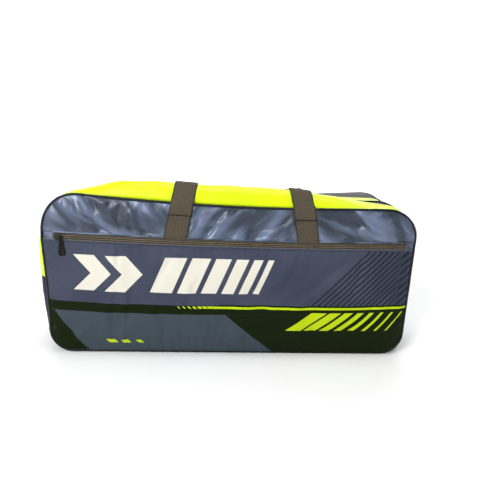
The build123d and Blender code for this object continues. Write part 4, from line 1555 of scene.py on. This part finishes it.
rear_handle()
for side in FEET:
    inset = ANCHOR_LOW + 4 * MM, ANCHOR_TOP - 8 * MM
    rows = [((-0.8, inset[0]), (0.8, inset[0])), ((0.8, inset[0]), (0.8, inset[1])),
            ((0.8, inset[1]), (-0.8, inset[1])), ((-0.8, inset[1]), (-0.8, inset[0])),
            ((-0.8, inset[0]), (0.8, inset[1])), ((0.8, inset[0]), (-0.8, inset[1]))]
    strap_stitches(f"rear_strap_stitches_{side}", side, rows, 1, back_depth, "rear_lid", 2.45 * MM)


# ------------------------------------------------------------------ sliders and pulls
def soften(obj):
    """Rounds the edges of a carried-over CAD piece."""
    bevel = obj.modifiers.new("soft_edges", "BEVEL")
    bevel.width = 0.35 * MM
    bevel.segments = 2
    bevel.limit_method = "ANGLE"


# a pull in millimetres: distance from its pin, half width and half thickness
PULL_SHAPE = np.array([(-2.0, 0.6, 0.5), (-1.6, 2.4, 1.2), (-0.6, 3.4, 1.5), (1.5, 3.6, 1.5),
                       (5, 3.4, 1.1), (8, 3.4, 1.0), (12, 4.2, 1.3), (17, 5.2, 1.5),
                       (23, 6.4, 1.6), (30, 7.3, 1.6), (34, 7.6, 1.5), (36.2, 6.8, 1.4),
                       (37.4, 4.6, 1.1), (37.8, 1.2, 0.5)])


def zip_pull(name, pin, along, normal, body, node):
    """Rubber pull: a narrow neck that widens to a rounded, ribbed tag."""
    pin, along, normal = (np.array(v, float) for v in (pin, along, normal))
    along = unit(along)
    reach, half_width, half_thick = PULL_SHAPE.T * MM
    fine = np.linspace(reach[0], reach[-1], 70)
    tag = sweep(name, pin + fine[:, None] * along, normal, np.interp(fine, reach, half_width),
                np.interp(fine, reach, half_thick), body, TAG, sides=20, power=3.0)
    side = np.cross(along, normal)
    marks = np.arange(13, 34, 2.2) * MM
    width = np.interp(marks, reach, half_width) - 1.2 * MM
    rise = np.interp(marks, reach, half_thick)
    places = pin + marks[:, None] * along + rise[:, None] * normal
    ribs = beads(f"{name}_ribs", places, side, normal, 1.0, 0.55 * MM, 0.45 * MM, body, TAG)
    mesh = ribs.data
    for k, centre in enumerate(places):
        for vertex in mesh.vertices[24 * k:24 * k + 24]:
            offset = np.array(vertex.co) - centre
            lengthwise = (offset @ side) * side
            vertex.co = centre + offset - lengthwise + lengthwise * width[k]
    stand_for(join(name, [tag, ribs]), "puller", node)


low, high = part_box("pocket_zip_slider")
pull_low, pull_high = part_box("pocket_zip_puller")
pin = (low[0] + high[0]) / 2, (pull_low[1] + pull_high[1]) / 2, POCKET_ZIP
zip_pull("pocket_pull", pin, (0.06, -0.02, -1), (0, -1, 0), "pocket_puller",
         "pocket_zip_puller")
slope = BAND_DROP / (2 * (HALF + BAND_SIDE))
for zip_name in ("front", "rear"):
    low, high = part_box(f"{zip_name}_zip_slider")
    pin = ((low[0] + high[0]) / 2, (low[1] + high[1]) / 2, high[2] - 1.6 * MM)
    zip_pull(f"{zip_name}_pull", pin, (1, 0, slope), (-slope, 0, 1), f"{zip_name}_puller",
             f"{zip_name}_zip_puller")
for node in ("pocket_zip_slider", "front_zip_slider", "rear_zip_slider"):
    soften(repaint(node, ENAMEL))


# ------------------------------------------------------------------ stage and camera
def area_light(name, place, aim, size_x, size_y, power):
    """A rectangular soft light that faces a point."""
    light = bpy.data.lights.new(name, "AREA")
    light.shape = "RECTANGLE"
    light.size, light.size_y, light.energy = size_x, size_y, power
    obj = bpy.data.objects.new(name, light)
    bpy.context.scene.collection.objects.link(obj)
    obj.location = place
    direction = mathutils.Vector(aim) - mathutils.Vector(place)
    obj.rotation_euler = direction.to_track_quat("-Z", "Y").to_euler()


def floor_plane():
    """Pale floor that curves up into a pale wall far behind."""
    tone = moulded_paint("floor_pale", (0.84, 0.84, 0.84), (0.86, 0.86, 0.86), 0.8)
    wide, front, back, radius, high = 9.0, -9.0, 4.0, 1.6, 7.0
    angles = np.linspace(0, math.pi / 2, 17)
    curve = [(back + radius * math.sin(a), radius * (1 - math.cos(a))) for a in angles]
    line = [(front, 0.0), *curve, (back + radius, high)]
    corners = [(x, y, z) for y, z in line for x in (-wide, wide)]
    floor = add_object("studio_floor", corners, grid_faces(len(line), 2), material=tone)


def studio_world():
    """Bright behind and above, dimmer in front, so that folds show."""
    world = bpy.data.worlds.new("studio")
    world.use_nodes = True
    tree = world.node_tree
    direction = tree.nodes.new("ShaderNodeTexCoord")
    parts = tree.nodes.new("ShaderNodeSeparateXYZ")
    ramp = tree.nodes.new("ShaderNodeMapRange")
    ramp.interpolation_type = "SMOOTHSTEP"
    for name, value in (("From Min", -0.25), ("From Max", 0.7),
                        ("To Min", 0.16), ("To Max", 0.75)):
        ramp.inputs[name].default_value = value
    tree.links.new(direction.outputs["Generated"], parts.inputs[0])
    tree.links.new(parts.outputs["Y"], ramp.inputs["Value"])
    tree.links.new(ramp.outputs["Result"], tree.nodes["Background"].inputs["Strength"])
    tree.nodes["Background"].inputs["Color"].default_value = (0.98, 0.99, 1.0, 1.0)
    bpy.context.scene.world = world


floor_plane()
studio_world()
bpy.context.scene.view_settings.view_transform = "Standard"
area_light("key_left", (-1.3, -2.0, 1.7), (0, 0, 0.2), 0.9, 0.9, 70)
area_light("soft_top", (0.2, -0.3, 2.4), (0, 0, 0.3), 1.6, 0.7, 22)
area_light("soft_right", (1.9, -1.4, 0.9), (0, 0, 0.2), 0.7, 0.9, 10)
area_light("wall_wash", (0.0, 2.2, 3.2), (0, 5.5, 2.4), 5.0, 0.6, 260)
area_light("floor_wash", (0.0, 3.4, 3.6), (0, 3.4, 0), 6.0, 1.5, 150)

YAW, PITCH, ROLL = (math.radians(a) for a in (-5.39, -15.41, -2.99))
camera = bpy.data.cameras.new("camera")
camera.sensor_width = 36.0
camera.lens = 35.64
view = bpy.data.objects.new("camera", camera)
bpy.context.scene.collection.objects.link(view)
turn = (mathutils.Matrix.Rotation(YAW, 3, "Z") @ mathutils.Matrix.Rotation(PITCH, 3, "X")
        @ mathutils.Matrix.Rotation(ROLL, 3, "Y"))
view.matrix_world = mathutils.Matrix.Translation((-0.061, -1.061, 0.496)) @ (
    turn @ mathutils.Matrix.Rotation(math.pi / 2, 3, "X")).to_4x4()
bpy.context.scene.camera = view
